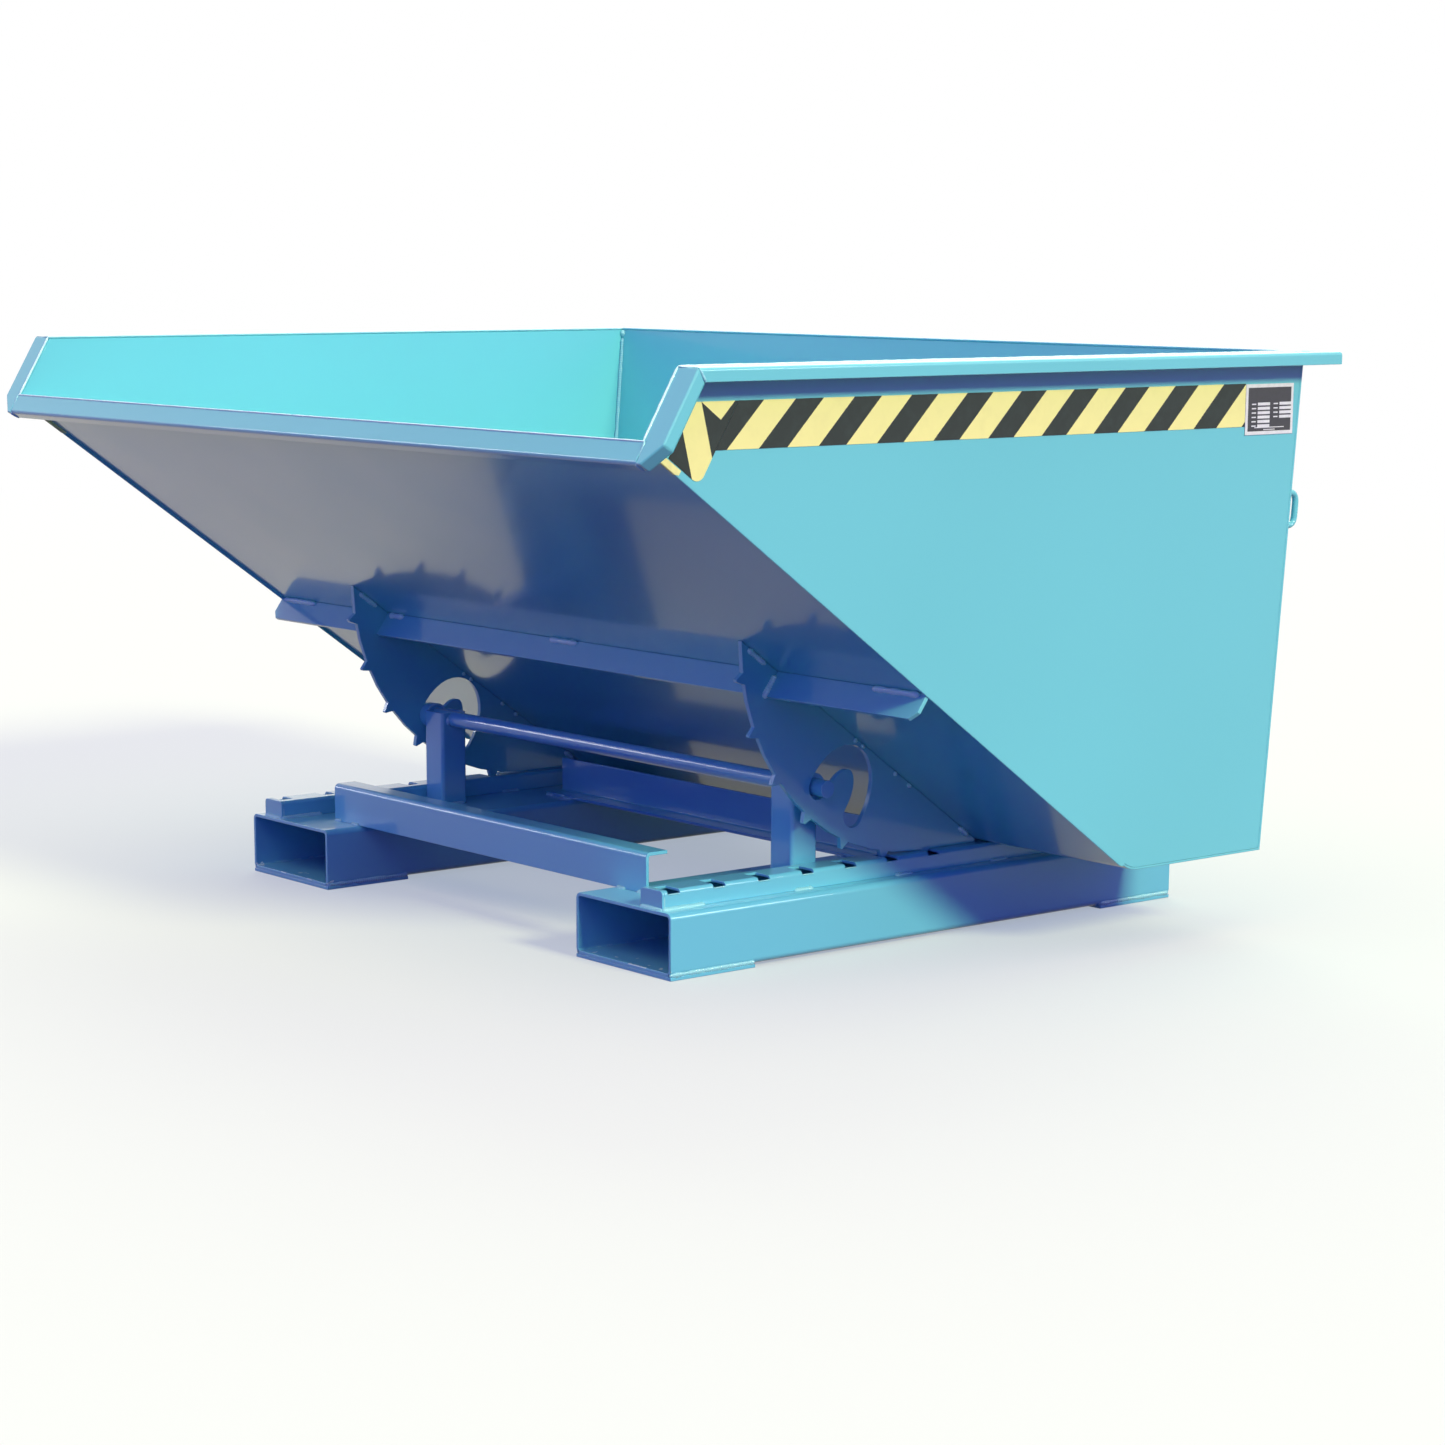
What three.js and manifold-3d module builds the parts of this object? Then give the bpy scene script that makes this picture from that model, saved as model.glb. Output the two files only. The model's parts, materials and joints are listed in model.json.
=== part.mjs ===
// Self dumping hopper: a steel skip that rolls forward on toothed rocker plates over a fork pocket frame.
// Millimetres. +Z is up, +Y to the rear, +X to the right. The origin is on the floor, under the middle.

import * as THREE from "three";
import { mergeVertices } from "three/addons/utils/BufferGeometryUtils.js";
import Module from "manifold-3d";

const wasm = await Module();
wasm.setup();

// Driving dimensions of the whole
const overall = { length: 1250, width: 1656, height: 835 };
const weldGap = 0.3; // between pieces that are welded or bolted together
const cutOverrun = 5; // how far a cutting solid runs past the face that it opens
const stepAngle = Math.PI / 24; // the angle that one flat of a round stretch covers, at most
const rodSides = 12; // of a bent rod's section
const boltSides = 6; // of a bolt head or nut

// Fork pocket frame
const pocket = { outerEdge: 530, width: 212, height: 88, wall: 5, bend: 9, length: 980, rearInset: 5 };
const foot = { length: 150, thickness: 5 };
const rail = { width: 48, height: 27, wall: 4, bend: 6, edgeInset: 26, frontInset: 6, rearGap: 6 };
const railCap = { thickness: 4 };
const post = { width: 50, depth: 48, wall: 4, bend: 6, overBar: 11 };
const crossBeam = { halfLength: 394, height: 58, depth: 38, wall: 5, bend: 8 };
const crossBeamPlace = { frontInset: 65, footLead: 102 };
const rearBeam = { halfLength: 430, height: 50, depth: 75, wall: 5, bend: 8 };

// Rolling gear: the rocker's arc rolls on the rail, and the guide bar runs along the rocker's kidney slot
const rolling = { radius: 330 };
const tooth = { pitch: 80.5, height: 13, base: 17, tip: 3, firstLead: 61, behind: 1 };
const rackSlot = { clearance: 2, inboardReach: 8 };
const rocker = { thickness: 8, tailHeight: 5, gap: 0.3 };
const bar = { radius: 12.5, lead: 187, rise: 111, reach: 20 };
const kidney = { clearance: 5, web: 7.25, turn: THREE.MathUtils.degToRad(66) };
const collar = { radius: 20, runningGap: 1 };
const shoe = { width: 10, length: 30, clearance: 0.6 };

// Skip
const sheet = { floor: 3, side: 3, back: 4, floorBend: 45 };
const rim = { width: 38, depth: 18, sheet: 3, bend: 5 };
const mouth = { drop: 91, run: 55, lipWidth: 28 };
const skipBottom = { length: 272, backLean: 58, seatGap: 0.3 };
const rib = { up: 476, thickness: 6, depth: 40, chamfer: 12, endInset: 2 };
const keeper = { height: 66, reach: 29, halfWidth: 34, radius: 6, bend: 14 };
const ropeEye = { height: 493, reach: 44, halfWidth: 24, radius: 5, bend: 14, sideInset: 30 };
const ratingPlate = { width: 100, height: 71, thickness: 1, rearInset: 14, topInset: 44 };
const tape = { width: 60, thickness: 0.4, topInset: 43, mouthInset: 42, edgeInset: 3 };

// Latch on the rear beam, parked swung back by its swing
const latch = { forwardOfRear: 56, rise: 25, swing: THREE.MathUtils.degToRad(20) };
const hook = { thickness: 10, eye: 12, armWidth: 13, rodGap: 6, bend: 5 };
const hookNose = { reach: 18, height: 26, gap: 3 };
const handle = { radius: 8, halfLength: 75, forward: 14, sink: 7 };
const ear = { thickness: 6, sideGap: 1, foreReach: 16, rim: 7, bend: 10 };
const bolt = { radius: 6, headRadius: 10.5, headHeight: 7.5, nutHeight: 10, tail: 4, washerGap: 0.3 };
const stopPin = { radius: 5, rise: 12, overhang: 3 };

// Heights and places that follow from the driving dimensions
const halfWidth = overall.width / 2 - rim.width;
const pocketTop = foot.thickness + pocket.height;
const pocketRear = overall.length / 2 - pocket.rearInset;
const pocketFront = pocketRear - pocket.length;
const pocketCentreX = pocket.outerEdge - pocket.width / 2;
const railTop = pocketTop + rail.height;
const railCentreX = pocket.outerEdge - rail.edgeInset - rail.width / 2;
const railFront = pocketFront + rail.frontInset;
const railRear = pocketRear - rearBeam.depth - rail.rearGap;
const rockerInnerX = railCentreX - rocker.thickness / 2;
const rockerOuterX = railCentreX + rocker.thickness / 2;
const barEnd = rockerOuterX + bar.reach;
const postOuterX = railCentreX - rail.width / 2 - weldGap;
const latchPivot = new THREE.Vector3(0, pocketRear - latch.forwardOfRear, pocketTop + latch.rise);

// Side profile of the skip, as points (y, z) and unit directions on its outer faces
const mouthSlant = Math.hypot(mouth.run, mouth.drop);
const mouthDown = new THREE.Vector2(-mouth.run, -mouth.drop).divideScalar(mouthSlant);
const mouthInward = new THREE.Vector2(mouth.drop, -mouth.run).divideScalar(mouthSlant);
const nose = new THREE.Vector2(
  (mouth.lipWidth * mouth.run) / mouthSlant - overall.length / 2,
  overall.height - mouth.drop,
);
const mouthTop = new THREE.Vector2(nose.x + mouth.run, overall.height);
const skipFloorZ = railTop + skipBottom.seatGap;
const backTop = new THREE.Vector2(overall.length / 2 - rim.width, overall.height);
const backFoot = new THREE.Vector2(backTop.x - skipBottom.backLean, skipFloorZ);
const slopeFoot = new THREE.Vector2(backFoot.x - skipBottom.length, skipFloorZ);
const slopeUp = nose.clone().sub(slopeFoot).normalize();
const slopeInward = new THREE.Vector2(-slopeUp.y, slopeUp.x).negate();
const backUp = backTop.clone().sub(backFoot).normalize();
const backInward = new THREE.Vector2(-backUp.y, backUp.x);
const levelRear = new THREE.Vector2(1, 0);
const levelUp = new THREE.Vector2(0, 1);

// Rolling motion: the guide bar stands still while the rocker's arc rolls along the rail
const slotSteps = Math.ceil(kidney.turn / stepAngle) * 2;
const slotAngles = Array.from({ length: slotSteps + 1 }, (_, i) => (kidney.turn * i) / slotSteps);
const slotHalf = bar.radius + kidney.clearance;

// Where the bar lies in the rocker once the skip has rolled by an angle, from the arc's centre at rest.
function barFromAxis(angle) {
  const start = new THREE.Vector2(rolling.radius * angle - bar.lead, bar.rise - rolling.radius);
  return start.rotateAround(new THREE.Vector2(), -angle);
}

// The rolling line lies as near the slope's foot as it can, with a web left between the slot and the slope.
function rollingLine() {
  const keepOff = slotHalf + kidney.web + rocker.gap;
  const axisHeight = railTop + rolling.radius - slopeFoot.y;
  const places = slotAngles.map((angle) => {
    const fromFoot = shifted(barFromAxis(angle), levelUp, axisHeight);
    return slopeFoot.x - (fromFoot.dot(slopeInward) + keepOff) / slopeInward.x;
  });
  return Math.min(...places);
}

const restY = rollingLine();
const rollAxis = new THREE.Vector2(restY, railTop + rolling.radius);
const barCentre = barFromAxis(0).add(rollAxis);

const painted = (color, roughness) => new THREE.MeshStandardMaterial({ color, roughness, metalness: 0.1 });
const frameBlue = painted(0x4f9fc4, 0.4);
const skipBlue = painted(0x62c4da, 0.35);
const bareSteel = new THREE.MeshStandardMaterial({ color: 0x9a9fa3, roughness: 0.45, metalness: 0.9 });
const tapeYellow = new THREE.MeshStandardMaterial({ color: 0xf2e58a, roughness: 0.6, metalness: 0 });
const plateDark = new THREE.MeshStandardMaterial({ color: 0x33343c, roughness: 0.5, metalness: 0.2 });

// Plane geometry helpers

// A point moved by a distance along a unit direction.
function shifted(point, direction, distance) {
  return point.clone().addScaledVector(direction, distance);
}

// Where two lines in a plane cross, each given as a point and a direction.
function crossing(pointA, directionA, pointB, directionB) {
  const along = pointB.clone().sub(pointA).cross(directionB) / directionA.cross(directionB);
  return pointA.clone().addScaledVector(directionA, along);
}

// Points on an arc from one angle to another, both ends included.
function arcPoints(centre, radius, from, to) {
  const count = Math.max(1, Math.ceil(Math.abs(to - from) / stepAngle));
  return Array.from({ length: count + 1 }, (_, i) => {
    const angle = from + ((to - from) * i) / count;
    return new THREE.Vector2(centre.x + radius * Math.cos(angle), centre.y + radius * Math.sin(angle));
  });
}

// An outline whose corners are rounded: each corner is [point, radius], and a radius of zero stays sharp.
function rounded(corners) {
  const points = [];
  corners.forEach(([corner, radius], i) => {
    if (!radius) {
      points.push(corner.clone());
      return;
    }
    const before = corners.at(i - 1)[0].clone().sub(corner).normalize();
    const after = corners[(i + 1) % corners.length][0].clone().sub(corner).normalize();
    const half = before.angleTo(after) / 2;
    const bisector = before.clone().add(after).normalize();
    const centre = shifted(corner, bisector, radius / Math.sin(half));
    const start = shifted(corner, before, radius / Math.tan(half)).sub(centre).angle();
    const end = shifted(corner, after, radius / Math.tan(half)).sub(centre).angle();
    const turn = THREE.MathUtils.euclideanModulo(end - start + Math.PI, 2 * Math.PI) - Math.PI;
    points.push(...arcPoints(centre, radius, start, start + turn));
  });
  return points;
}

// A path in a plane moved sideways, to the left of its direction, with mitred corners.
function offsetPath(points, distance) {
  return points.map((point, i) => {
    const before = point.clone().sub(points[Math.max(i - 1, 0)]);
    const after = points[Math.min(i + 1, points.length - 1)].clone().sub(point);
    const directions = [before, after].filter((d) => d.length() > 0).map((d) => d.normalize());
    const normals = directions.map((d) => new THREE.Vector2(-d.y, d.x));
    const sum = normals.reduce((total, n) => total.add(n), new THREE.Vector2());
    const mitre = sum.clone().divideScalar(sum.dot(normals.at(-1)));
    return shifted(point, mitre, distance);
  });
}

// A closed band of even width along a path.
function band(points, width) {
  return [...points, ...offsetPath(points, width).reverse()];
}

function rectangle(left, low, right, high, radius = 0) {
  const corner = (x, y) => [new THREE.Vector2(x, y), radius];
  return rounded([corner(left, low), corner(right, low), corner(right, high), corner(left, high)]);
}

function circle(centre, radius) {
  return arcPoints(centre, radius, 0, 2 * Math.PI).slice(0, -1);
}

function polygon(sides, radius) {
  return Array.from({ length: sides }, (_, i) => {
    const angle = (i / sides) * 2 * Math.PI;
    return new THREE.Vector2(radius * Math.cos(angle), radius * Math.sin(angle));
  });
}

// Solid helpers

const X = new THREE.Vector3(1, 0, 0);
const Y = new THREE.Vector3(0, 1, 0);
const Z = new THREE.Vector3(0, 0, 1);
const inSidePlane = (direction) => new THREE.Vector3(0, direction.x, direction.y);

// A prism of an outline drawn on the axes u and v from a point, and pushed along u cross v.
function prism(outline, at, u, v, depth, holes = []) {
  const shape = new THREE.Shape(outline);
  shape.holes = holes.map((points) => new THREE.Path(points));
  const geometry = new THREE.ExtrudeGeometry(shape, { depth, bevelEnabled: false });
  const turn = new THREE.Matrix4().makeBasis(u, v, u.clone().cross(v)).setPosition(at);
  return geometry.applyMatrix4(turn);
}

// A prism along X whose outline is drawn in the side view, as points (y, z).
function alongX(outline, left, right, holes) {
  return prism(outline, new THREE.Vector3(left, 0, 0), Y, Z, right - left, holes);
}

// A prism along Y whose outline is drawn in the front view, as points (x, z).
function alongY(outline, front, rear, holes) {
  return prism(outline, new THREE.Vector3(0, rear, 0), X, Z, rear - front, holes);
}

// A prism along Z whose outline is drawn in the top view, as points (x, y).
function alongZ(outline, low, high, holes) {
  return prism(outline, new THREE.Vector3(0, 0, low), X, Y, high - low, holes);
}

function toSolid(geometry) {
  const bare = geometry.clone();
  bare.deleteAttribute("normal");
  bare.deleteAttribute("uv");
  const merged = mergeVertices(bare);
  const vertProperties = Float32Array.from(merged.attributes.position.array);
  const triVerts = Uint32Array.from(merged.index.array);
  return new wasm.Manifold(new wasm.Mesh({ numProp: 3, vertProperties, triVerts }));
}

function toGeometry(solid) {
  const { vertProperties, triVerts } = solid.getMesh();
  const geometry = new THREE.BufferGeometry();
  geometry.setAttribute("position", new THREE.BufferAttribute(vertProperties, 3));
  geometry.setIndex(new THREE.BufferAttribute(triVerts, 1));
  return geometry.toNonIndexed();
}

function cut(geometry, ...tools) {
  return toGeometry(tools.reduce((solid, tool) => solid.subtract(toSolid(tool)), toSolid(geometry)));
}

function join(...geometries) {
  return toGeometry(geometries.map(toSolid).reduce((total, solid) => total.add(solid)));
}

// Takes away all that lies beyond a plane through a point, on the side that its normal points to.
function cutBeyond(geometry, point, normal) {
  const size = overall.length + overall.width;
  const block = new THREE.BoxGeometry(size, size, size).translate(0, 0, size / 2);
  block.applyQuaternion(new THREE.Quaternion().setFromUnitVectors(Z, normal)).translate(...point);
  return cut(geometry, block);
}

// The same piece for the other side of the middle plane.
function mirrored(geometry) {
  const other = geometry.index ? geometry.toNonIndexed() : geometry.clone();
  other.scale(-1, 1, 1);
  const position = other.getAttribute("position");
  for (let i = 0; i < position.count; i += 3) {
    const second = new THREE.Vector3().fromBufferAttribute(position, i + 1);
    const third = new THREE.Vector3().fromBufferAttribute(position, i + 2);
    position.setXYZ(i + 1, ...third);
    position.setXYZ(i + 2, ...second);
  }
  return other;
}

const hopper = new THREE.Group();
const frameGroup = new THREE.Group();
const skipGroup = new THREE.Group();
const latchGroup = new THREE.Group();
hopper.add(frameGroup, skipGroup, latchGroup);

function add(group, name, geometry, material) {
  const mesh = new THREE.Mesh(geometry, material);
  mesh.name = name;
  group.add(mesh);
  return mesh;
}

function addPair(group, name, rightGeometry, material) {
  add(group, `right_${name}`, rightGeometry, material);
  add(group, `left_${name}`, mirrored(rightGeometry), material);
}

// Fork pockets: folded tubes, open at both ends, on foot plates

function forkPocket() {
  const inner = pocket.outerEdge - pocket.width;
  const outside = rectangle(inner, foot.thickness, pocket.outerEdge, pocketTop, pocket.bend);
  const inside = rectangle(
    inner + pocket.wall,
    foot.thickness + pocket.wall,
    pocket.outerEdge - pocket.wall,
    pocketTop - pocket.wall,
    pocket.bend - pocket.wall,
  );
  return alongY(outside, pocketFront, pocketRear, [inside]);
}

function footPlate() {
  return new THREE.BoxGeometry(pocket.width, foot.length, foot.thickness);
}

function addFeet() {
  const frontY = pocketFront + foot.length / 2;
  const rearY = pocketRear - foot.length / 2;
  for (const [side, x] of [["right", pocketCentreX], ["left", -pocketCentreX]]) {
    for (const [end, y] of [["front", frontY], ["rear", rearY]]) {
      const mesh = add(frameGroup, `${side}_${end}_foot_plate`, footPlate(), frameBlue);
      mesh.position.set(x, y, foot.thickness / 2);
    }
  }
}

// Rails: channels turned over on the pockets, with a row of slots for the rocker's teeth

// The angle ahead of straight down at which the rocker's arc meets the underside of the slope.
function arcTopAngle(radius) {
  const fromAxis = shifted(slopeFoot, slopeInward, -rocker.gap).sub(rollAxis);
  const b = fromAxis.dot(slopeUp);
  const along = -b + Math.sqrt(b * b - fromAxis.lengthSq() + radius * radius);
  const met = shifted(fromAxis, slopeUp, along);
  return Math.atan2(-met.x, -met.y);
}

function toothLead(index) {
  return tooth.firstLead + index * tooth.pitch;
}

const channelFront = railFront + railCap.thickness + weldGap;
const halfSlot = tooth.base / 2 + rackSlot.clearance;

// As many teeth as the arc and the rail have room for
const arcLead = arcTopAngle(rolling.radius) * rolling.radius - tooth.base / 2;
const railLead = restY - channelFront - halfSlot;
const teethAhead = Math.floor((Math.min(arcLead, railLead) - tooth.firstLead) / tooth.pitch);
const toothIndexes = Array.from({ length: tooth.behind + 1 + teethAhead }, (_, i) => i - tooth.behind);

function railSection(inset, low) {
  const left = railCentreX - rail.width / 2 + inset;
  const right = railCentreX + rail.width / 2 - inset;
  const bend = rail.bend - inset;
  const corner = (x, z, radius) => [new THREE.Vector2(x, z), radius];
  return rounded([
    corner(left, low, 0),
    corner(right, low, 0),
    corner(right, railTop - inset, bend),
    corner(left, railTop - inset, bend),
  ]);
}

function railChannel() {
  const outer = railSection(0, pocketTop);
  const inner = railSection(rail.wall, pocketTop - cutOverrun);
  const hollow = alongY(inner, channelFront - cutOverrun, railRear + cutOverrun);
  const slots = toothIndexes.map((index) => {
    const y = restY - toothLead(index);
    const left = railCentreX - rackSlot.inboardReach;
    const right = railCentreX + rail.width / 2 + cutOverrun;
    const outline = rectangle(left, y - halfSlot, right, y + halfSlot);
    return alongZ(outline, railTop - rail.bend, railTop + cutOverrun);
  });
  return cut(alongY(outer, channelFront, railRear), hollow, ...slots);
}

function railFrontCap() {
  return alongY(railSection(0, pocketTop), railFront, railFront + railCap.thickness);
}

// Posts and the guide bar

function guidePost() {
  const inner = postOuterX - post.width;
  const front = barCentre.x - post.depth / 2;
  const rear = barCentre.x + post.depth / 2;
  const wall = post.wall;
  const outside = rectangle(inner, front, postOuterX, rear, post.bend);
  const inside = rectangle(inner + wall, front + wall, postOuterX - wall, rear - wall, post.bend - wall);
  const tube = alongZ(outside, pocketTop, barCentre.y + post.overBar, [inside]);
  const hole = circle(barCentre, bar.radius + weldGap);
  return cut(tube, alongX(hole, inner - cutOverrun, postOuterX + cutOverrun));
}

function roundBar(radius, halfLength) {
  const segments = Math.ceil((2 * Math.PI) / stepAngle / 2) * 2;
  return new THREE.CylinderGeometry(radius, radius, 2 * halfLength, segments).rotateZ(Math.PI / 2);
}

function barCollar() {
  const left = postOuterX + weldGap;
  const right = rockerInnerX - collar.runningGap;
  return alongX(circle(barCentre, collar.radius), left, right, [circle(barCentre, bar.radius + weldGap)]);
}

// Cross beams: angles with one bend. The outline runs along the outer faces, from the upright leg's end.

function angleSection(foreY, lowZ, size, uprightAtFront, levelOnTop) {
  const { depth, height, wall, bend } = size;
  const uprightY = uprightAtFront ? foreY : foreY + depth;
  const endY = uprightAtFront ? foreY + depth : foreY;
  const levelZ = levelOnTop ? lowZ + height : lowZ;
  const endZ = levelOnTop ? lowZ : lowZ + height;
  const inY = uprightAtFront ? wall : -wall;
  const inZ = levelOnTop ? -wall : wall;
  const corner = (y, z, radius) => [new THREE.Vector2(y, z), radius];
  const outline = rounded([
    corner(uprightY, endZ, 0),
    corner(uprightY, levelZ, bend),
    corner(endY, levelZ, 0),
    corner(endY, levelZ + inZ, 0),
    corner(uprightY + inY, levelZ + inZ, bend - wall),
    corner(uprightY + inY, endZ, 0),
  ]);
  return THREE.ShapeUtils.isClockWise(outline) ? outline.reverse() : outline;
}

function frontCrossBeam() {
  const section = angleSection(pocketFront + crossBeamPlace.frontInset, pocketTop, crossBeam, true, true);
  return alongX(section, -crossBeam.halfLength, crossBeam.halfLength);
}

function middleCrossBeam() {
  const foreY = slopeFoot.x - crossBeamPlace.footLead - crossBeam.depth;
  const section = angleSection(foreY, pocketTop, crossBeam, false, false);
  return alongX(section, -crossBeam.halfLength, crossBeam.halfLength);
}

function rearCrossBeam() {
  const section = angleSection(pocketRear - rearBeam.depth, pocketTop, rearBeam, false, false);
  return alongX(section, -rearBeam.halfLength, rearBeam.halfLength);
}

addPair(frameGroup, "fork_pocket", forkPocket(), frameBlue);
addFeet();
addPair(frameGroup, "rail", railChannel(), frameBlue);
addPair(frameGroup, "rail_front_cap", railFrontCap(), frameBlue);
addPair(frameGroup, "guide_post", guidePost(), frameBlue);
addPair(frameGroup, "bar_collar", barCollar(), frameBlue);
add(frameGroup, "front_cross_beam", frontCrossBeam(), frameBlue);
add(frameGroup, "middle_cross_beam", middleCrossBeam(), frameBlue);
add(frameGroup, "rear_cross_beam", rearCrossBeam(), frameBlue);
add(frameGroup, "guide_bar", roundBar(bar.radius, barEnd), frameBlue).position.copy(inSidePlane(barCentre));

// A small block inside the right rail, which keeps level with the rolling line while the skip tips

function rollShoe() {
  const left = railCentreX - rail.width / 2 + rail.wall + shoe.clearance;
  const low = pocketTop + shoe.clearance;
  const high = railTop - rail.wall - shoe.clearance;
  return alongY(
    rectangle(left, low, left + shoe.width, high),
    restY - shoe.length / 2,
    restY + shoe.length / 2,
  );
}

add(hopper, "roll_shoe", rollShoe(), bareSteel);

// Skip sheets. Each is bounded by lines of the side profile, moved inward by the sheets that they meet.

const slopeLine = (inset) => [shifted(slopeFoot, slopeInward, inset), slopeUp];
const levelLine = (inset) => [shifted(slopeFoot, levelUp, inset), levelRear];
const backLine = (inset) => [shifted(backFoot, backInward, inset), backUp];
const mouthLine = (inset) => [shifted(mouthTop, mouthInward, inset), mouthDown];
const topLine = (inset) => [shifted(mouthTop, levelUp, -inset), levelRear];
const meet = (lineA, lineB) => crossing(...lineA, ...lineB);

const underRim = rim.sheet + weldGap;
const overFloor = sheet.floor + weldGap;

function floorSheet() {
  const inner = sheet.floor;
  const outline = rounded([
    [meet(slopeLine(0), mouthLine(underRim)), 0],
    [meet(slopeLine(0), levelLine(0)), sheet.floorBend + sheet.floor],
    [backFoot, 0],
    [meet(levelLine(inner), backLine(0)), 0],
    [meet(slopeLine(inner), levelLine(inner)), sheet.floorBend],
    [meet(slopeLine(inner), mouthLine(underRim)), 0],
  ]);
  return alongX(outline, -halfWidth, halfWidth);
}

function backSheet() {
  const outline = [
    meet(levelLine(overFloor), backLine(0)),
    meet(topLine(underRim), backLine(0)),
    meet(topLine(underRim), backLine(sheet.back)),
    meet(levelLine(overFloor), backLine(sheet.back)),
  ];
  return alongX(outline, -halfWidth, halfWidth);
}

function sidePanel() {
  const outline = rounded([
    [meet(slopeLine(overFloor), mouthLine(underRim)), 0],
    [meet(slopeLine(overFloor), levelLine(overFloor)), sheet.floorBend - weldGap],
    [meet(levelLine(overFloor), backLine(sheet.back + weldGap)), 0],
    [meet(topLine(underRim), backLine(sheet.back + weldGap)), 0],
    [meet(topLine(underRim), mouthLine(underRim)), 0],
  ]);
  return alongX(outline, halfWidth - sheet.side, halfWidth);
}

// Rims: a flange outward from the sheet's edge and a return, rounded where they meet

const rimOuterX = halfWidth + rim.width;
const mitreDown = mouthDown.clone().add(levelRear).normalize();
const mitreRear = inSidePlane(new THREE.Vector2(-mitreDown.y, mitreDown.x));

// The rim's section: across is measured outward from a sheet's inner face, and down from the top.
function rimOutline(innerEdge, outerEdge) {
  const corner = (across, down, radius) => [new THREE.Vector2(across, down), radius];
  return rounded([
    corner(innerEdge, -rim.sheet, 0),
    corner(outerEdge - rim.sheet, -rim.sheet, rim.bend - rim.sheet),
    corner(outerEdge - rim.sheet, -rim.depth, 0),
    corner(outerEdge, -rim.depth, 0),
    corner(outerEdge, 0, rim.bend),
    corner(innerEdge, 0, 0),
  ]);
}

function sideTopRim() {
  const outline = rimOutline(halfWidth - sheet.side, rimOuterX);
  const at = new THREE.Vector3(0, overall.length / 2, overall.height);
  const whole = prism(outline, at, X, Z, overall.length / 2 - mouthTop.x + rim.width);
  const frontCorner = inSidePlane(mouthTop).addScaledVector(mitreRear, weldGap / 2);
  const rearCorner = new THREE.Vector3(rimOuterX, overall.length / 2, 0);
  const rearNormal = new THREE.Vector3(-1, 1, 0).normalize();
  const fronted = cutBeyond(whole, frontCorner, mitreRear.clone().negate());
  return cutBeyond(fronted, rearCorner.addScaledVector(rearNormal, -weldGap / 2), rearNormal);
}

function backTopRim() {
  const outline = rimOutline(backTop.x - sheet.back, overall.length / 2);
  const at = new THREE.Vector3(-rimOuterX, 0, overall.height);
  let geometry = prism(outline, at, Y, Z, 2 * rimOuterX);
  for (const side of [-1, 1]) {
    const normal = new THREE.Vector3(side, -1, 0).normalize();
    const corner = new THREE.Vector3(side * rimOuterX, overall.length / 2, 0);
    geometry = cutBeyond(geometry, corner.addScaledVector(normal, -weldGap / 2), normal);
  }
  return geometry;
}

// The mouth's frame lies in one slanted plane, drawn as (x, distance down the slant)
const lipInner = meet(mouthLine(0), slopeLine(sheet.floor)).distanceTo(mouthTop);
const lipOuter = mouthSlant + mouth.lipWidth;
const inMouth = (outline, depth) => prism(outline, inSidePlane(mouthTop), X, inSidePlane(mouthDown), depth);

function mouthRim() {
  const edge = [
    new THREE.Vector2(rimOuterX, -rim.width),
    new THREE.Vector2(rimOuterX, mouthSlant),
    new THREE.Vector2(rimOuterX - mouth.lipWidth, lipOuter),
    new THREE.Vector2(halfWidth + weldGap, lipOuter),
  ];
  const flange = [
    ...edge,
    new THREE.Vector2(halfWidth + weldGap, lipInner - weldGap),
    new THREE.Vector2(halfWidth - sheet.side, lipInner - weldGap),
    new THREE.Vector2(halfWidth - sheet.side, -rim.width),
  ];
  const whole = join(inMouth(flange, rim.sheet), inMouth(band(edge, rim.sheet), rim.depth));
  const corner = inSidePlane(mouthTop).addScaledVector(mitreRear, -weldGap / 2);
  return cutBeyond(whole, corner, mitreRear);
}

function frontLip() {
  const corner = (down, inward, radius) => [new THREE.Vector2(down, inward), radius];
  const outline = rounded([
    corner(lipInner, 0, 0),
    corner(lipOuter, 0, rim.bend),
    corner(lipOuter, rim.depth, 0),
    corner(lipOuter - rim.sheet, rim.depth, 0),
    corner(lipOuter - rim.sheet, rim.sheet, rim.bend - rim.sheet),
    corner(lipInner, rim.sheet, 0),
  ]);
  const at = inSidePlane(mouthTop).setX(-halfWidth);
  return prism(outline, at, inSidePlane(mouthDown), inSidePlane(mouthInward), 2 * halfWidth);
}

// Rockers: toothed arc plates under the sloping floor, with a kidney slot for the guide bar

function kidneySlot() {
  const path = slotAngles.map((angle) => barFromAxis(angle).add(rollAxis));
  const start = path[0].clone().sub(path[1]).angle();
  const end = path.at(-1).clone().sub(path.at(-2)).angle();
  return [
    ...arcPoints(path[0], slotHalf, start + Math.PI / 2, start - Math.PI / 2),
    ...offsetPath(path, slotHalf).slice(1, -1),
    ...arcPoints(path.at(-1), slotHalf, end + Math.PI / 2, end - Math.PI / 2),
    ...offsetPath(path, -slotHalf).slice(1, -1).reverse(),
  ];
}

function onArc(radius, angle) {
  return new THREE.Vector2(-Math.sin(angle), -Math.cos(angle)).multiplyScalar(radius).add(rollAxis);
}

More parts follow.
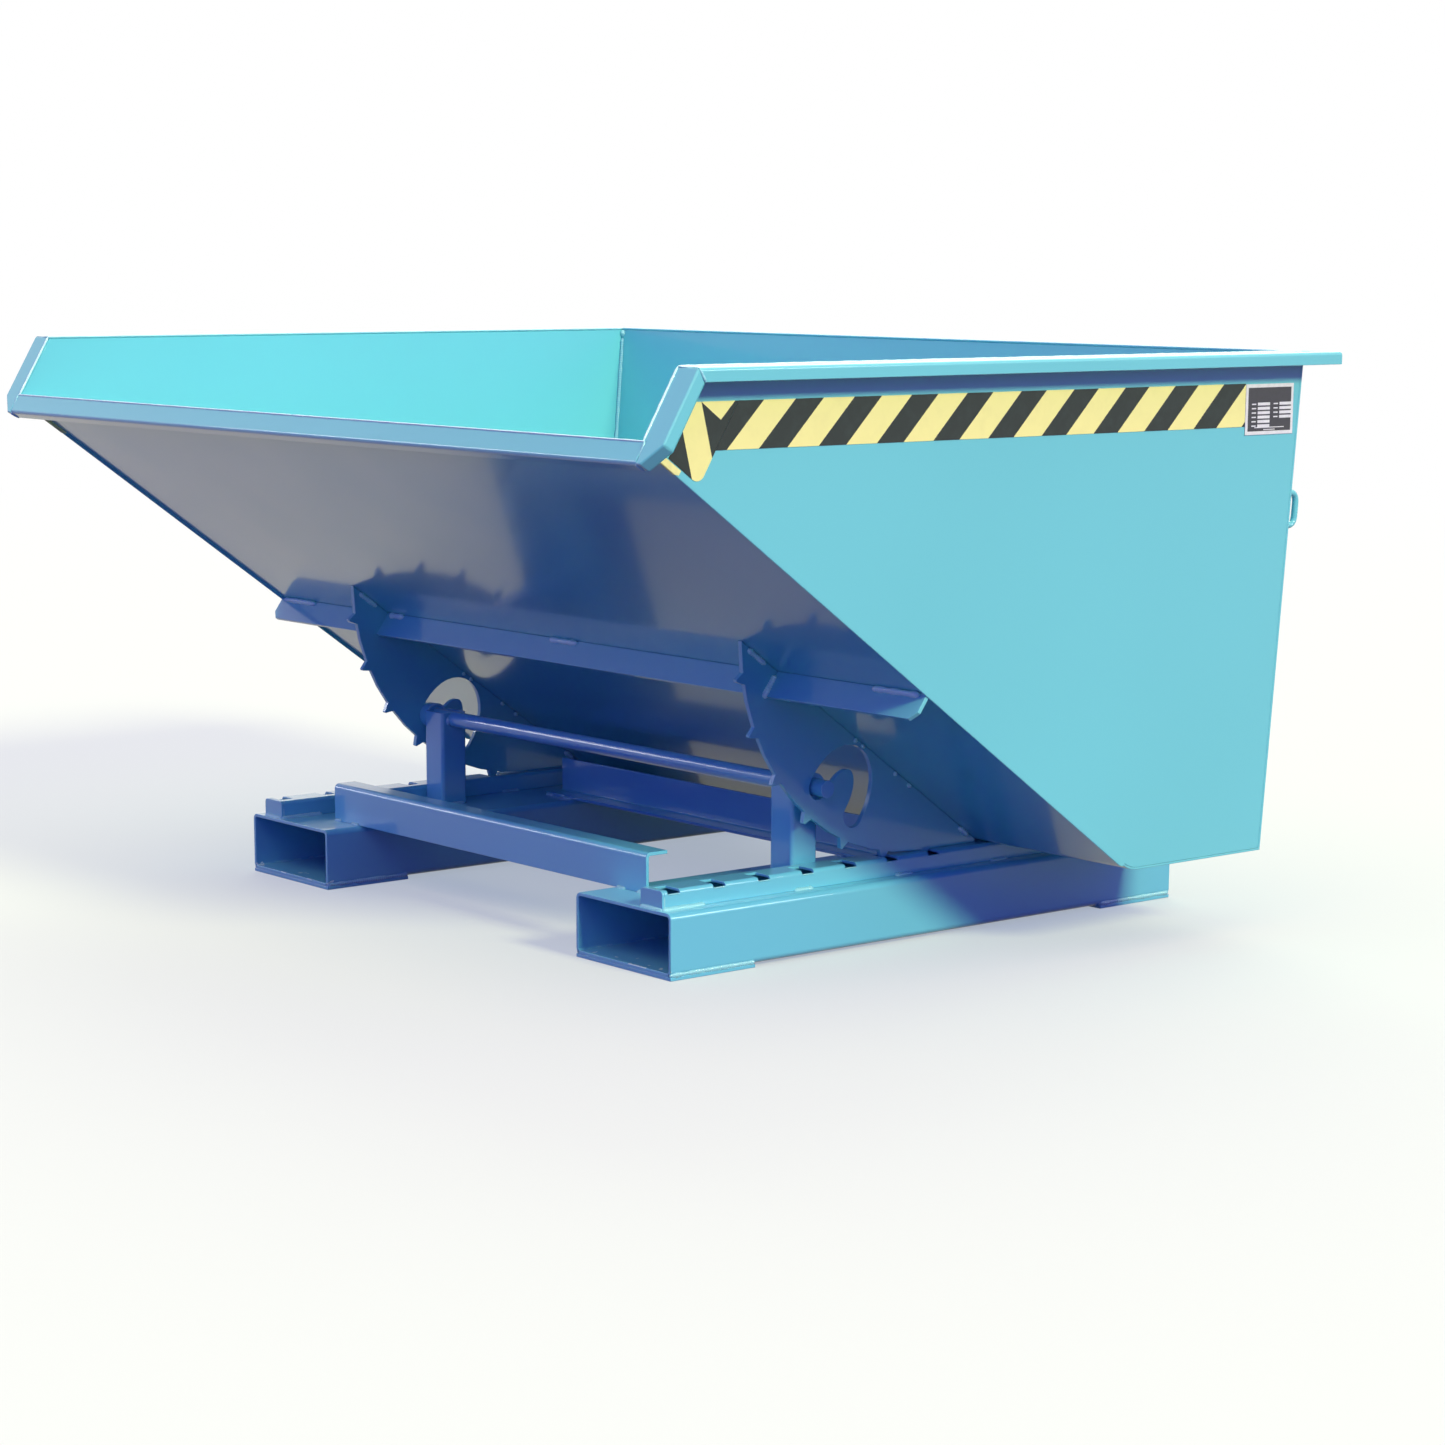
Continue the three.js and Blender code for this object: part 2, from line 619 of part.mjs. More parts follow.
function rockerPlate() {
  const radius = rolling.radius - rocker.gap;
  const topAngle = arcTopAngle(radius);
  const low = railTop + rocker.gap;
  const slope = slopeLine(-rocker.gap);
  const tailTop = crossing(...slope, new THREE.Vector2(0, low + rocker.tailHeight), levelRear);
  const outline = [new THREE.Vector2(tailTop.x, low), tailTop, onArc(radius, topAngle)];
  outline.push(...arcPoints(rollAxis, radius, -Math.PI / 2 - topAngle, -Math.PI / 2).slice(1));
  const plate = alongX(outline.reverse(), rockerInnerX, rockerOuterX);
  const reach = rocker.thickness / 2 + cutOverrun;
  const slot = alongX(kidneySlot().reverse(), railCentreX - reach, railCentreX + reach);
  return cut(join(plate, ...toothIndexes.map(rockerTooth)), slot);
}

// A tooth starts inside the plate. It is upright behind the rolling line and radial ahead of it.
function rockerTooth(index) {
  const lead = toothLead(index);
  const radius = rolling.radius - rocker.gap;
  const angle = Math.max(lead, 0) / rolling.radius;
  const behind = new THREE.Vector2(Math.max(-lead, 0), 0);
  const root = onArc(radius, angle).add(behind);
  const out = new THREE.Vector2(-Math.sin(angle), -Math.cos(angle));
  const across = new THREE.Vector2(-out.y, out.x);
  const point = (outward, sideways) => shifted(shifted(root, out, outward), across, sideways);
  const outline = [
    point(-tooth.height, -tooth.base / 2),
    point(0, -tooth.base / 2),
    point(tooth.height, -tooth.tip / 2),
    point(tooth.height, tooth.tip / 2),
    point(0, tooth.base / 2),
    point(-tooth.height, tooth.base / 2),
  ];
  const ordered = THREE.ShapeUtils.isClockWise(outline) ? outline.reverse() : outline;
  return alongX(ordered, rockerInnerX, rockerOuterX);
}

// Ribs: flat bars on edge across the underside of the slope

function ribBar(left, right, chamferAtRight) {
  const outward = slopeInward.clone().negate();
  const foot = shifted(slopeFoot, slopeUp, rib.up + rib.thickness).addScaledVector(outward, weldGap);
  const outline = [
    new THREE.Vector2(left, 0),
    new THREE.Vector2(right, 0),
    ...(chamferAtRight
      ? [new THREE.Vector2(right, rib.depth - rib.chamfer), new THREE.Vector2(right - rib.chamfer, rib.depth)]
      : [new THREE.Vector2(right, rib.depth)]),
    new THREE.Vector2(left, rib.depth),
  ];
  return prism(outline, inSidePlane(foot), X, inSidePlane(outward), rib.thickness);
}

// Bent rods on the back sheet

// A round rod bent to a U: it leaves the sheet at one leg, crosses over and comes back at the other.
function bentRod(centre, across, outward, size) {
  const { halfWidth: half, reach, bend, radius } = size;
  const point = (side, out) => centre.clone().addScaledVector(across, side).addScaledVector(outward, out);
  const path = new THREE.CurvePath();
  const legEnd = [point(-half, reach - bend), point(half, reach - bend)];
  const crossEnd = [point(bend - half, reach), point(half - bend, reach)];
  path.add(new THREE.LineCurve3(point(-half, weldGap), legEnd[0]));
  path.add(new THREE.QuadraticBezierCurve3(legEnd[0], point(-half, reach), crossEnd[0]));
  path.add(new THREE.LineCurve3(crossEnd[0], crossEnd[1]));
  path.add(new THREE.QuadraticBezierCurve3(crossEnd[1], point(half, reach), legEnd[1]));
  path.add(new THREE.LineCurve3(legEnd[1], point(half, weldGap)));
  const section = new THREE.Shape(polygon(rodSides, radius));
  const steps = Math.ceil(path.getLength() / radius);
  return new THREE.ExtrudeGeometry(section, { steps, bevelEnabled: false, extrudePath: path });
}

function onBack(x, height) {
  return inSidePlane(shifted(backFoot, backUp, height)).setX(x);
}

const backOutward = inSidePlane(backInward).negate();

// Latch: ears and a bolt on the rear beam, and a hook that swings forward over the keeper

// The keeper's rod as it lies from the latch's pivot, as (y, z)
const keeperRod = shifted(shifted(backFoot, backUp, keeper.height), backInward, -keeper.reach).sub(
  new THREE.Vector2(latchPivot.y, latchPivot.z),
);
const hookFront = keeperRod.x + keeper.radius + hook.rodGap;
const hookRear = hookFront + hook.armWidth;
const noseLow = keeperRod.y + keeper.radius + hookNose.gap;
const noseTop = noseLow + hookNose.height;
const handleCentre = new THREE.Vector2(-handle.forward, noseTop + handle.radius - handle.sink);
const earInner = hook.thickness / 2 + ear.sideGap;
const earOuter = earInner + ear.thickness;

// The stop pin touches the rear edge of the hook's arm when the hook has swung back.
const stopCentre = new THREE.Vector2(hookRear + stopPin.radius + weldGap, stopPin.rise).rotateAround(
  new THREE.Vector2(),
  -latch.swing,
);

// The hook is drawn locked, about its own pivot.
function latchHook() {
  const corner = (y, z, radius) => [new THREE.Vector2(y, z), radius];
  const outline = rounded([
    corner(-hook.eye, -hook.eye, hook.eye),
    corner(hookRear, -hook.eye, hook.eye),
    corner(hookRear, noseTop, hook.bend),
    corner(-hookNose.reach, noseTop, 0),
    corner(-hookNose.reach, noseLow, hook.bend),
    corner(hookFront, noseLow, hook.bend),
    corner(hookFront, hook.eye, hook.bend),
    corner(-hook.eye, hook.eye, hook.eye),
  ]);
  const half = hook.thickness / 2;
  const plate = alongX(outline, -half, half, [circle(new THREE.Vector2(), bolt.radius + weldGap)]);
  const saddle = circle(handleCentre, handle.radius + weldGap);
  return cut(plate, alongX(saddle, -half - cutOverrun, half + cutOverrun));
}

function latchEar() {
  const low = rearBeam.wall - latch.rise;
  const rear = stopCentre.x + stopPin.radius + ear.rim;
  const high = bolt.headRadius + ear.rim;
  const corner = (y, z, radius) => [new THREE.Vector2(y, z), radius];
  const outline = rounded([
    corner(-ear.foreReach, low, 0),
    corner(rear, low, 0),
    corner(rear, high, ear.bend),
    corner(-ear.foreReach, high, ear.bend),
  ]);
  const holes = [
    circle(new THREE.Vector2(), bolt.radius + weldGap),
    circle(stopCentre, stopPin.radius + weldGap),
  ];
  return alongX(outline, earInner, earOuter, holes);
}

// The bolt's head is on the right, and its thread ends a little past the nut on the left.
function pivotBolt() {
  const headLeft = earOuter + bolt.washerGap;
  const shankLeft = -headLeft - bolt.nutHeight - bolt.tail;
  const shank = alongX(circle(new THREE.Vector2(), bolt.radius), shankLeft, headLeft + bolt.headHeight / 2);
  return join(shank, alongX(polygon(boltSides, bolt.headRadius), headLeft, headLeft + bolt.headHeight));
}

function pivotNut() {
  const nutRight = -earOuter - bolt.washerGap;
  const bore = circle(new THREE.Vector2(), bolt.radius + weldGap);
  return alongX(polygon(boltSides, bolt.headRadius), nutRight - bolt.nutHeight, nutRight, [bore]);
}

for (const [name, geometry] of [
  ["right_latch_ear", latchEar()],
  ["left_latch_ear", mirrored(latchEar())],
  ["latch_pivot_bolt", pivotBolt()],
  ["latch_pivot_nut", pivotNut()],
]) {
  const material = name.startsWith("latch") ? bareSteel : frameBlue;
  add(frameGroup, name, geometry, material).position.copy(latchPivot);
}
add(frameGroup, "latch_stop_pin", roundBar(stopPin.radius, earOuter + stopPin.overhang), bareSteel)
  .position.copy(latchPivot)
  .add(inSidePlane(stopCentre));

latchGroup.position.copy(latchPivot);
latchGroup.rotation.x = -latch.swing;
add(latchGroup, "latch_hook", latchHook(), skipBlue);
add(latchGroup, "latch_handle_bar", roundBar(handle.radius, handle.halfLength), skipBlue).position.copy(
  inSidePlane(handleCentre),
);

// Rating plate and hazard tape on the side panels

function plateOnPanel(outline, thickness) {
  return alongX(outline, halfWidth + weldGap, halfWidth + weldGap + thickness);
}

const ratingTop = overall.height - ratingPlate.topInset;
const ratingRear = meet(backLine(sheet.back + ratingPlate.rearInset), topLine(ratingPlate.topInset)).x;
const ratingFront = ratingRear - ratingPlate.width;

function ratingOutline() {
  return rectangle(ratingFront, ratingTop - ratingPlate.height, ratingRear, ratingTop);
}

const tapeFrontOuter = tape.mouthInset;
const tapeFrontInner = tape.mouthInset + tape.width;

function frontTapeOutline() {
  const low = slopeLine(overFloor + tape.edgeInset);
  const high = topLine(tape.topInset);
  return [
    meet(mouthLine(tapeFrontOuter), high),
    meet(mouthLine(tapeFrontOuter), low),
    meet(mouthLine(tapeFrontInner), low),
    meet(mouthLine(tapeFrontInner), high),
  ];
}

function sideTapeOutline() {
  const start = mouthLine(tapeFrontInner + weldGap);
  const high = topLine(tape.topInset);
  const low = topLine(tape.topInset + tape.width);
  const end = [new THREE.Vector2(ratingFront - weldGap, 0), levelUp];
  return [meet(start, high), meet(start, low), meet(end, low), meet(end, high)];
}

add(skipGroup, "floor_sheet", floorSheet(), skipBlue);
add(skipGroup, "back_sheet", backSheet(), skipBlue);
addPair(skipGroup, "side_panel", sidePanel(), skipBlue);
addPair(skipGroup, "top_rim", sideTopRim(), skipBlue);
add(skipGroup, "back_top_rim", backTopRim(), skipBlue);
addPair(skipGroup, "mouth_rim", mouthRim(), skipBlue);
add(skipGroup, "front_lip", frontLip(), skipBlue);
addPair(skipGroup, "rocker", rockerPlate(), skipBlue);
add(skipGroup, "centre_rib", ribBar(weldGap - rockerInnerX, rockerInnerX - weldGap, false), skipBlue);
addPair(skipGroup, "outer_rib", ribBar(rockerOuterX + weldGap, halfWidth - rib.endInset, true), skipBlue);
add(skipGroup, "latch_keeper", bentRod(onBack(0, keeper.height), X, backOutward, keeper), skipBlue);
add(
  skipGroup,
  "rope_eye",
  bentRod(onBack(halfWidth - ropeEye.sideInset, ropeEye.height), inSidePlane(backUp), backOutward, ropeEye),
  skipBlue,
);
add(skipGroup, "rating_plate", plateOnPanel(ratingOutline(), ratingPlate.thickness), plateDark);
addPair(skipGroup, "side_hazard_tape", plateOnPanel(sideTapeOutline(), tape.thickness), tapeYellow);
addPair(skipGroup, "front_hazard_tape", plateOnPanel(frontTapeOutline(), tape.thickness), tapeYellow);

export default hopper;
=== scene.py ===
"""Looks of the self dumping hopper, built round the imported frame.

Metres, +Z up, +X to the right, -Y to the mouth.
"""

import json
import math

import bmesh
import bpy
from mathutils import Matrix, Vector

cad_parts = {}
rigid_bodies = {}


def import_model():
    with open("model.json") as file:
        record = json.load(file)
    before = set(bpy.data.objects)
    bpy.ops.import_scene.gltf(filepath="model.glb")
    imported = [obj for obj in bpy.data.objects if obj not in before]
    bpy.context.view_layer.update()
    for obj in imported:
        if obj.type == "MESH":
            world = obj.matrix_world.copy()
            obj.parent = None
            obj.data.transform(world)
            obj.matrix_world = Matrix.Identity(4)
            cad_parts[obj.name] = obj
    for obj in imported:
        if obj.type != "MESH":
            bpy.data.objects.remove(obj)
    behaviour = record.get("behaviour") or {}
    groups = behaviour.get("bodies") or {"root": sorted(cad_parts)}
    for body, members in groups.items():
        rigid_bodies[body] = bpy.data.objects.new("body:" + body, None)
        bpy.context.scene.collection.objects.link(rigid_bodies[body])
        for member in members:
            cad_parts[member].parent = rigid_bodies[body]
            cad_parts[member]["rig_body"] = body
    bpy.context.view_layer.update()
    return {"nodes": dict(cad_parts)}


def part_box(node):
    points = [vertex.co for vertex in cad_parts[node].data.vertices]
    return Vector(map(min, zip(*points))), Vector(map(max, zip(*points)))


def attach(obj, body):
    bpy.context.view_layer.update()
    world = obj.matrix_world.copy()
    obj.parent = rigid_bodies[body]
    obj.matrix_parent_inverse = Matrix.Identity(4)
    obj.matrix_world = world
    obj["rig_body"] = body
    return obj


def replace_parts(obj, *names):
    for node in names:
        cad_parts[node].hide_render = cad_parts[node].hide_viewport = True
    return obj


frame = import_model()

MM = 0.001
RIGHT = 1
LEFT = -1
SIDES = {"right": RIGHT, "left": LEFT}


# Node trees


class Tree:
    """Adds nodes to a node tree, with their settings and what goes into their sockets."""

    def __init__(self, tree):
        self.tree = tree

    def link(self, value, socket):
        self.tree.links.new(value, socket)

    def add(self, kind, inputs=(), **settings):
        node = self.tree.nodes.new(kind)
        for name, value in settings.items():
            setattr(node, name, value)
        for key, value in dict(inputs).items():
            if isinstance(value, bpy.types.NodeSocket):
                self.link(value, node.inputs[key])
            else:
                node.inputs[key].default_value = value
        return node

    def math(self, operation, a, b=0.0):
        return self.add("ShaderNodeMath", {0: a, 1: b}, operation=operation).outputs[0]

    def noise(self, place, scale, detail=2.0):
        inputs = {"Vector": place, "Scale": scale, "Detail": detail}
        return self.add("ShaderNodeTexNoise", inputs).outputs["Fac"]

    def spread(self, value, low, high, to_low=0.0, to_high=1.0):
        inputs = {"Value": value, "From Min": low, "From Max": high, "To Min": to_low, "To Max": to_high}
        return self.add("ShaderNodeMapRange", inputs).outputs["Result"]

    def mix(self, share, a, b):
        node = self.add("ShaderNodeMix", data_type="RGBA")
        for key, value in (("Factor", share), ("A", a), ("B", b)):
            socket = next(s for s in node.inputs if s.name == key and s.type != "VECTOR" and s.enabled)
            if isinstance(value, bpy.types.NodeSocket):
                self.link(value, socket)
            else:
                socket.default_value = value
        return next(s for s in node.outputs if s.enabled)


def new_material(name):
    material = bpy.data.materials.new(name)
    material.use_nodes = True
    tree = Tree(material.node_tree)
    place = tree.add("ShaderNodeTexCoord").outputs["Object"]
    return material, tree, material.node_tree.nodes["Principled BSDF"], place


def set_inputs(shader, values):
    for name, value in values.items():
        shader.inputs[name].default_value = value


def shade(colour, factor):
    """A colour made darker or lighter by a factor."""
    return (*(min(channel * factor, 1.0) for channel in colour[:3]), 1.0)


# Paint and other finishes

PAINT = (0.150, 0.590, 0.660, 1.0)
# Bluer than the skip's paint: painted shade, for a frame that stands mostly in the skip's shadow.
SHADED_FRAME_PAINT = (0.145, 0.545, 0.715, 1.0)
# Lighter than the sheets' paint: painted highlight for the glints on the weld ripples.
WELD_HIGHLIGHT_PAINT = (0.28, 0.66, 0.74, 1.0)
# Paler still, for the beads under the slope: painted light on welds that stand in shade.
SLOPE_WELD_PAINTED_LIGHT = (0.50, 0.92, 0.86, 1.0)
# Near white: painted highlight lines along the inner edges of the rims.
SEAM_HIGHLIGHT_PAINT = (0.62, 0.92, 0.95, 1.0)
CHIPPED_PAINT = (0.62, 0.95, 0.90, 1.0)
ZINC = (0.62, 0.63, 0.64, 1.0)
TAPE_YELLOW = (0.95, 0.90, 0.35, 1.0)
TAPE_BLACK = (0.016, 0.025, 0.025, 1.0)
PLATE_FACE = (0.030, 0.031, 0.045, 1.0)
PLATE_WHITE = (0.80, 0.81, 0.82, 1.0)

# The part of each noise that counts, from where it starts to where it is full
PAINT_NOISE = (0.2, 0.8)
ZINC_NOISE = (0.3, 0.7)
DUST_NOISE = (0.45, 0.75)
MARKS_NOISE = (0.4, 0.8)

PAINT_DRIFT = (0.97, 1.03)
PAINT_ROUGHNESS = (0.29, 0.36)
PAINT_GLOSS = {
    "Specular IOR Level": 0.25,
    "Coat Weight": 1.0,
    "Coat IOR": 1.31,
    "Coat Roughness": 0.09,
}
CHIPS_ROUGHER = 0.25
CHIPS_REACH = 60 * MM
CHIPS_THINNING = (0.62, 0.85)
ZINC_MOTTLE = (0.75, 1.1)
ZINC_ROUGHNESS = (0.28, 0.48)
FILM_GLOSS = {"Roughness": 0.42, "Specular IOR Level": 0.3}
FILM_DUST = 0.12
DUST_ON_YELLOW = 0.7
DUST_ON_BLACK = 4.0
PRINT_MARKS = 0.85
PRINT_MARKS_ROUGHER = 0.15


def add_peel(tree, shader, place, peel, wave):
    """Orange peel of sprayed gloss paint, and the slow waves of thin sheet metal."""
    fine = tree.math("MULTIPLY", tree.noise(place, scale=150.0, detail=0.0), peel)
    slow = tree.math("MULTIPLY", tree.noise(place, scale=3.2, detail=0.0), wave)
    height = tree.math("ADD", fine, slow)
    bump = tree.add("ShaderNodeBump", {"Strength": 1.0, "Distance": MM, "Height": height})
    tree.link(bump.outputs["Normal"], shader.inputs["Normal"])


def paint(name, tone=PAINT, peel=0.008, wave=0.8, chips=None):
    """Gloss paint. Where chips are given, forks rub it off between two heights, most near the front."""
    material, tree, shader, place = new_material(name)
    drift = tree.spread(tree.noise(place, scale=2.3, detail=1.0), *PAINT_NOISE)
    darker, lighter = (shade(tone, factor) for factor in PAINT_DRIFT)
    colour = tree.mix(drift, darker, lighter)
    gloss = tree.spread(tree.noise(place, scale=6.0, detail=1.0), *PAINT_NOISE, *PAINT_ROUGHNESS)
    if chips:
        worn = chipped(tree, place, *chips)
        colour = tree.mix(worn, colour, CHIPPED_PAINT)
        gloss = tree.math("ADD", gloss, tree.math("MULTIPLY", worn, CHIPS_ROUGHER))
    tree.link(colour, shader.inputs["Base Color"])
    tree.link(gloss, shader.inputs["Roughness"])
    set_inputs(shader, PAINT_GLOSS)
    add_peel(tree, shader, place, peel, wave)
    return material


def chipped(tree, place, low, high, front):
    """A mask of small chips between two heights, thicker near the front end."""
    _, y, z = tree.add("ShaderNodeSeparateXYZ", {0: place}).outputs
    flecks = tree.noise(place, scale=70.0, detail=1.0)
    least = tree.spread(y, front, front + CHIPS_REACH, *CHIPS_THINNING)
    chips = tree.math("GREATER_THAN", flecks, least)
    inside = tree.math("MULTIPLY", tree.math("GREATER_THAN", z, low), tree.math("LESS_THAN", z, high))
    return tree.math("MULTIPLY", chips, inside)


def zinc_plating():
    material, tree, shader, place = new_material("zinc_plating")
    mottle = tree.spread(tree.noise(place, scale=160.0, detail=4.0), *ZINC_NOISE)
    dull, bright = (shade(ZINC, factor) for factor in ZINC_MOTTLE)
    tree.link(tree.mix(mottle, dull, bright), shader.inputs["Base Color"])
    tree.link(tree.spread(mottle, 0.0, 1.0, *ZINC_ROUGHNESS), shader.inputs["Roughness"])
    set_inputs(shader, {"Metallic": 1.0})
    return material


# The tape's stripes lean at 45 degrees, and its two strips meet along an oblique cut. Both directions lie
# in the plane of the side panel, as (y, z).
TAPE_PERIOD = 98.6 * MM
TAPE_DARK_SHARE = 0.472
SIDE_STRIPE_START = -1161.2 * MM
FRONT_STRIPE_START = -386.0 * MM
TAPE_LINE = Vector((0.971, 0.240))
TAPE_CUT = Vector((0.590, 0.806))
TAPE_CUT_PLACE = 330.5 * MM
TAPE_OVERLAP = -291.9 * MM


def stripes(tree, along, start, period):
    turns = tree.math("DIVIDE", tree.math("SUBTRACT", along, start), period)
    return tree.math("LESS_THAN", tree.math("FRACT", turns), TAPE_DARK_SHARE)


def hazard_film():
    """Yellow and black film. The stripes of the strip at the mouth are turned with that strip."""
    material, tree, shader, place = new_material("hazard_film")
    _, y, z = tree.add("ShaderNodeSeparateXYZ", {0: place}).outputs

    def across(direction):
        along_y = tree.math("MULTIPLY", y, direction.x)
        along_z = tree.math("MULTIPLY", z, direction.y)
        return tree.math("ADD", along_y, along_z)

    side = stripes(tree, tree.math("SUBTRACT", y, z), SIDE_STRIPE_START, TAPE_PERIOD)
    front = stripes(tree, across(TAPE_LINE), FRONT_STRIPE_START, TAPE_PERIOD / math.sqrt(2))
    behind_cut = tree.math("GREATER_THAN", across(TAPE_CUT), TAPE_CUT_PLACE)
    covered = tree.math("MAXIMUM", behind_cut, tree.math("GREATER_THAN", across(TAPE_LINE), TAPE_OVERLAP))
    front_only = tree.math("MULTIPLY", front, tree.math("SUBTRACT", 1.0, covered))
    dark = tree.math("ADD", tree.math("MULTIPLY", side, covered), front_only)
    dust = tree.spread(tree.noise(place, scale=60.0, detail=6.0), *DUST_NOISE, 0.0, FILM_DUST)
    yellow = tree.mix(dust, TAPE_YELLOW, shade(TAPE_YELLOW, DUST_ON_YELLOW))
    black = tree.mix(dust, TAPE_BLACK, shade(TAPE_BLACK, DUST_ON_BLACK))
    tree.link(tree.mix(dark, yellow, black), shader.inputs["Base Color"])
    set_inputs(shader, FILM_GLOSS)
    add_peel(tree, shader, place, peel=0.01, wave=0.3)
    return material


def printed(name, colour, roughness):
    """A printed face with faint handling marks."""
    material, tree, shader, place = new_material(name)
    marks = tree.spread(tree.noise(place, scale=120.0, detail=5.0), *MARKS_NOISE)
    rubbed = tree.spread(marks, 0.0, 1.0, roughness, roughness + PRINT_MARKS_ROUGHER)
    tree.link(tree.mix(marks, colour, shade(colour, PRINT_MARKS)), shader.inputs["Base Color"])
    tree.link(rubbed, shader.inputs["Roughness"])
    return material


POCKET_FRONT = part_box("right_fork_pocket")[0].y
POCKET_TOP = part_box("right_fork_pocket")[1].z
FORK_FLOOR = (9 * MM, 14 * MM)

skip_paint = paint("skip_paint")
# The frame and the pockets take the bluer frame tone, which is painted shade. The pockets' chips are real
# wear.
frame_paint = paint("frame_paint", tone=SHADED_FRAME_PAINT, wave=0.3)
pocket_paint = paint("pocket_paint", tone=SHADED_FRAME_PAINT, wave=0.3, chips=(*FORK_FLOOR, POCKET_FRONT))
weld_paint = paint("weld_paint", tone=WELD_HIGHLIGHT_PAINT, peel=0.06, wave=0.0)
slope_weld_paint = paint("slope_weld_paint", tone=SLOPE_WELD_PAINTED_LIGHT, peel=0.06, wave=0.0)
seam_paint = paint("seam_paint", tone=SEAM_HIGHLIGHT_PAINT, peel=0.0, wave=0.0)
zinc = zinc_plating()
film = hazard_film()
yellow_film = printed("yellow_film", TAPE_YELLOW, roughness=0.45)
plate_face = printed("plate_face", PLATE_FACE, roughness=0.35)
plate_white = printed("plate_white", PLATE_WHITE, roughness=0.45)


# Pieces that follow the solids, with their edges eased

EASED_EDGE = 0.6 * MM
SHARP_ANGLE = math.radians(40)
FLAT_ANGLE = math.radians(0.2)
SAME_POINT = 0.01 * MM
WIDE_FACE = 12 * MM
EASED_SEGMENTS = 2
BEND_SEGMENTS = 4
ROD_ROUNDING = 2
FITTING_EDGE = 0.4 * MM
FILM_EDGE = 0.1 * MM
PLATE_EDGE = 0.3 * MM


def plain_copy(node):
    """A copy of a node's mesh with shared corners, and with one face where there were flat triangles."""
    bm = bmesh.new()
    bm.from_mesh(frame["nodes"][node].data)
    bmesh.ops.remove_doubles(bm, verts=bm.verts, dist=SAME_POINT)
    bmesh.ops.dissolve_limit(bm, angle_limit=FLAT_ANGLE, verts=bm.verts, edges=bm.edges)
    return bm


def is_sharp(edge):
    return not edge.is_manifold or edge.calc_face_angle() > SHARP_ANGLE


def room_beside(edge):
    """How far the narrower of an edge's two faces reaches from it."""
    start = edge.verts[0].co
    along = (edge.verts[1].co - start).normalized()
    reaches = []
    for face in edge.link_faces:
        offsets = [vertex.co - start for vertex in face.verts]
        reaches.append(max((offset - along * offset.dot(along)).length for offset in offsets))
    return min(reaches)


def mesh_from(name, bm):
    mesh = bpy.data.meshes.new(name)
    bm.to_mesh(mesh)
    bm.free()
    return mesh


def smooth_mesh(name, bm):
    for face in bm.faces:
        face.smooth = True
    for edge in bm.edges:
        edge.smooth = not is_sharp(edge)
    return mesh_from(name, bm)


def place_piece(name, mesh, material, body):
    piece = bpy.data.objects.new(name, mesh)
    bpy.context.scene.collection.objects.link(piece)
    mesh.materials.clear()
    mesh.materials.append(material)
    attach(piece, body)
    return piece


def body_of(node):
    return frame["nodes"][node]["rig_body"]


def eased(node, material, edge=EASED_EDGE, bend=None, shape=None):
    """A piece that stands for a node, with its sharp edges rounded, by bend where two wide faces meet."""
    bend = bend or edge
    bm = plain_copy(node)
    if shape:
        shape(bm)
    weights = bm.edges.layers.float.new("bevel_weight_edge")
    for each in bm.edges:
        if is_sharp(each):
            each[weights] = 1.0 if room_beside(each) > WIDE_FACE else edge / bend
    name = f"{node}_eased"
    piece = place_piece(name, smooth_mesh(name, bm), material, body_of(node))
    bevel = piece.modifiers.new("edges", "BEVEL")
    bevel.limit_method = "WEIGHT"
    bevel.width = bend
    bevel.segments = EASED_SEGMENTS if bend == edge else BEND_SEGMENTS
    bevel.use_clamp_overlap = False
    normals = piece.modifiers.new("normals", "WEIGHTED_NORMAL")
    normals.keep_sharp = True
    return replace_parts(piece, node)


def round_rod(node, material):
    """A piece that stands for a bent rod, made rounder than its solid. Its cut ends stay flat."""
    bm = plain_copy(node)
    creases = bm.edges.layers.float.new("crease_edge")
    for each in bm.edges:
        if is_sharp(each):
            each[creases] = 1.0
    name = f"{node}_rod"
    piece = place_piece(name, smooth_mesh(name, bm), material, body_of(node))
    rounding = piece.modifiers.new("rounding", "SUBSURF")
    rounding.levels = ROD_ROUNDING
    rounding.render_levels = ROD_ROUNDING
    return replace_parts(piece, node)


def pair(name):
    return [f"right_{name}", f"left_{name}"]


SKIP_SHEETS = [
    "floor_sheet",
    "back_sheet",
    *pair("side_panel"),
    *pair("top_rim"),
    "back_top_rim",
    "front_lip",
]
SKIP_PLATES = [*pair("rocker"), "centre_rib", *pair("outer_rib")]
LATCH_PLATES = ["latch_hook", "latch_handle_bar"]
BENT_RODS = ["latch_keeper", "rope_eye"]
FRAME_TUBES = [
    *pair("rail"),
    *pair("rail_front_cap"),
    *pair("guide_post"),
    *pair("bar_collar"),
    "front_cross_beam",
    "middle_cross_beam",
    "rear_cross_beam",
    "guide_bar",
    *pair("latch_ear"),
]
POCKETS = [*pair("fork_pocket"), *pair("front_foot_plate"), *pair("rear_foot_plate")]
BRIGHT_FITTINGS = ["latch_pivot_bolt", "latch_pivot_nut", "latch_stop_pin", "roll_shoe"]
RIM_BEND = 2.5 * MM
TAPE_CORNER = 14 * MM

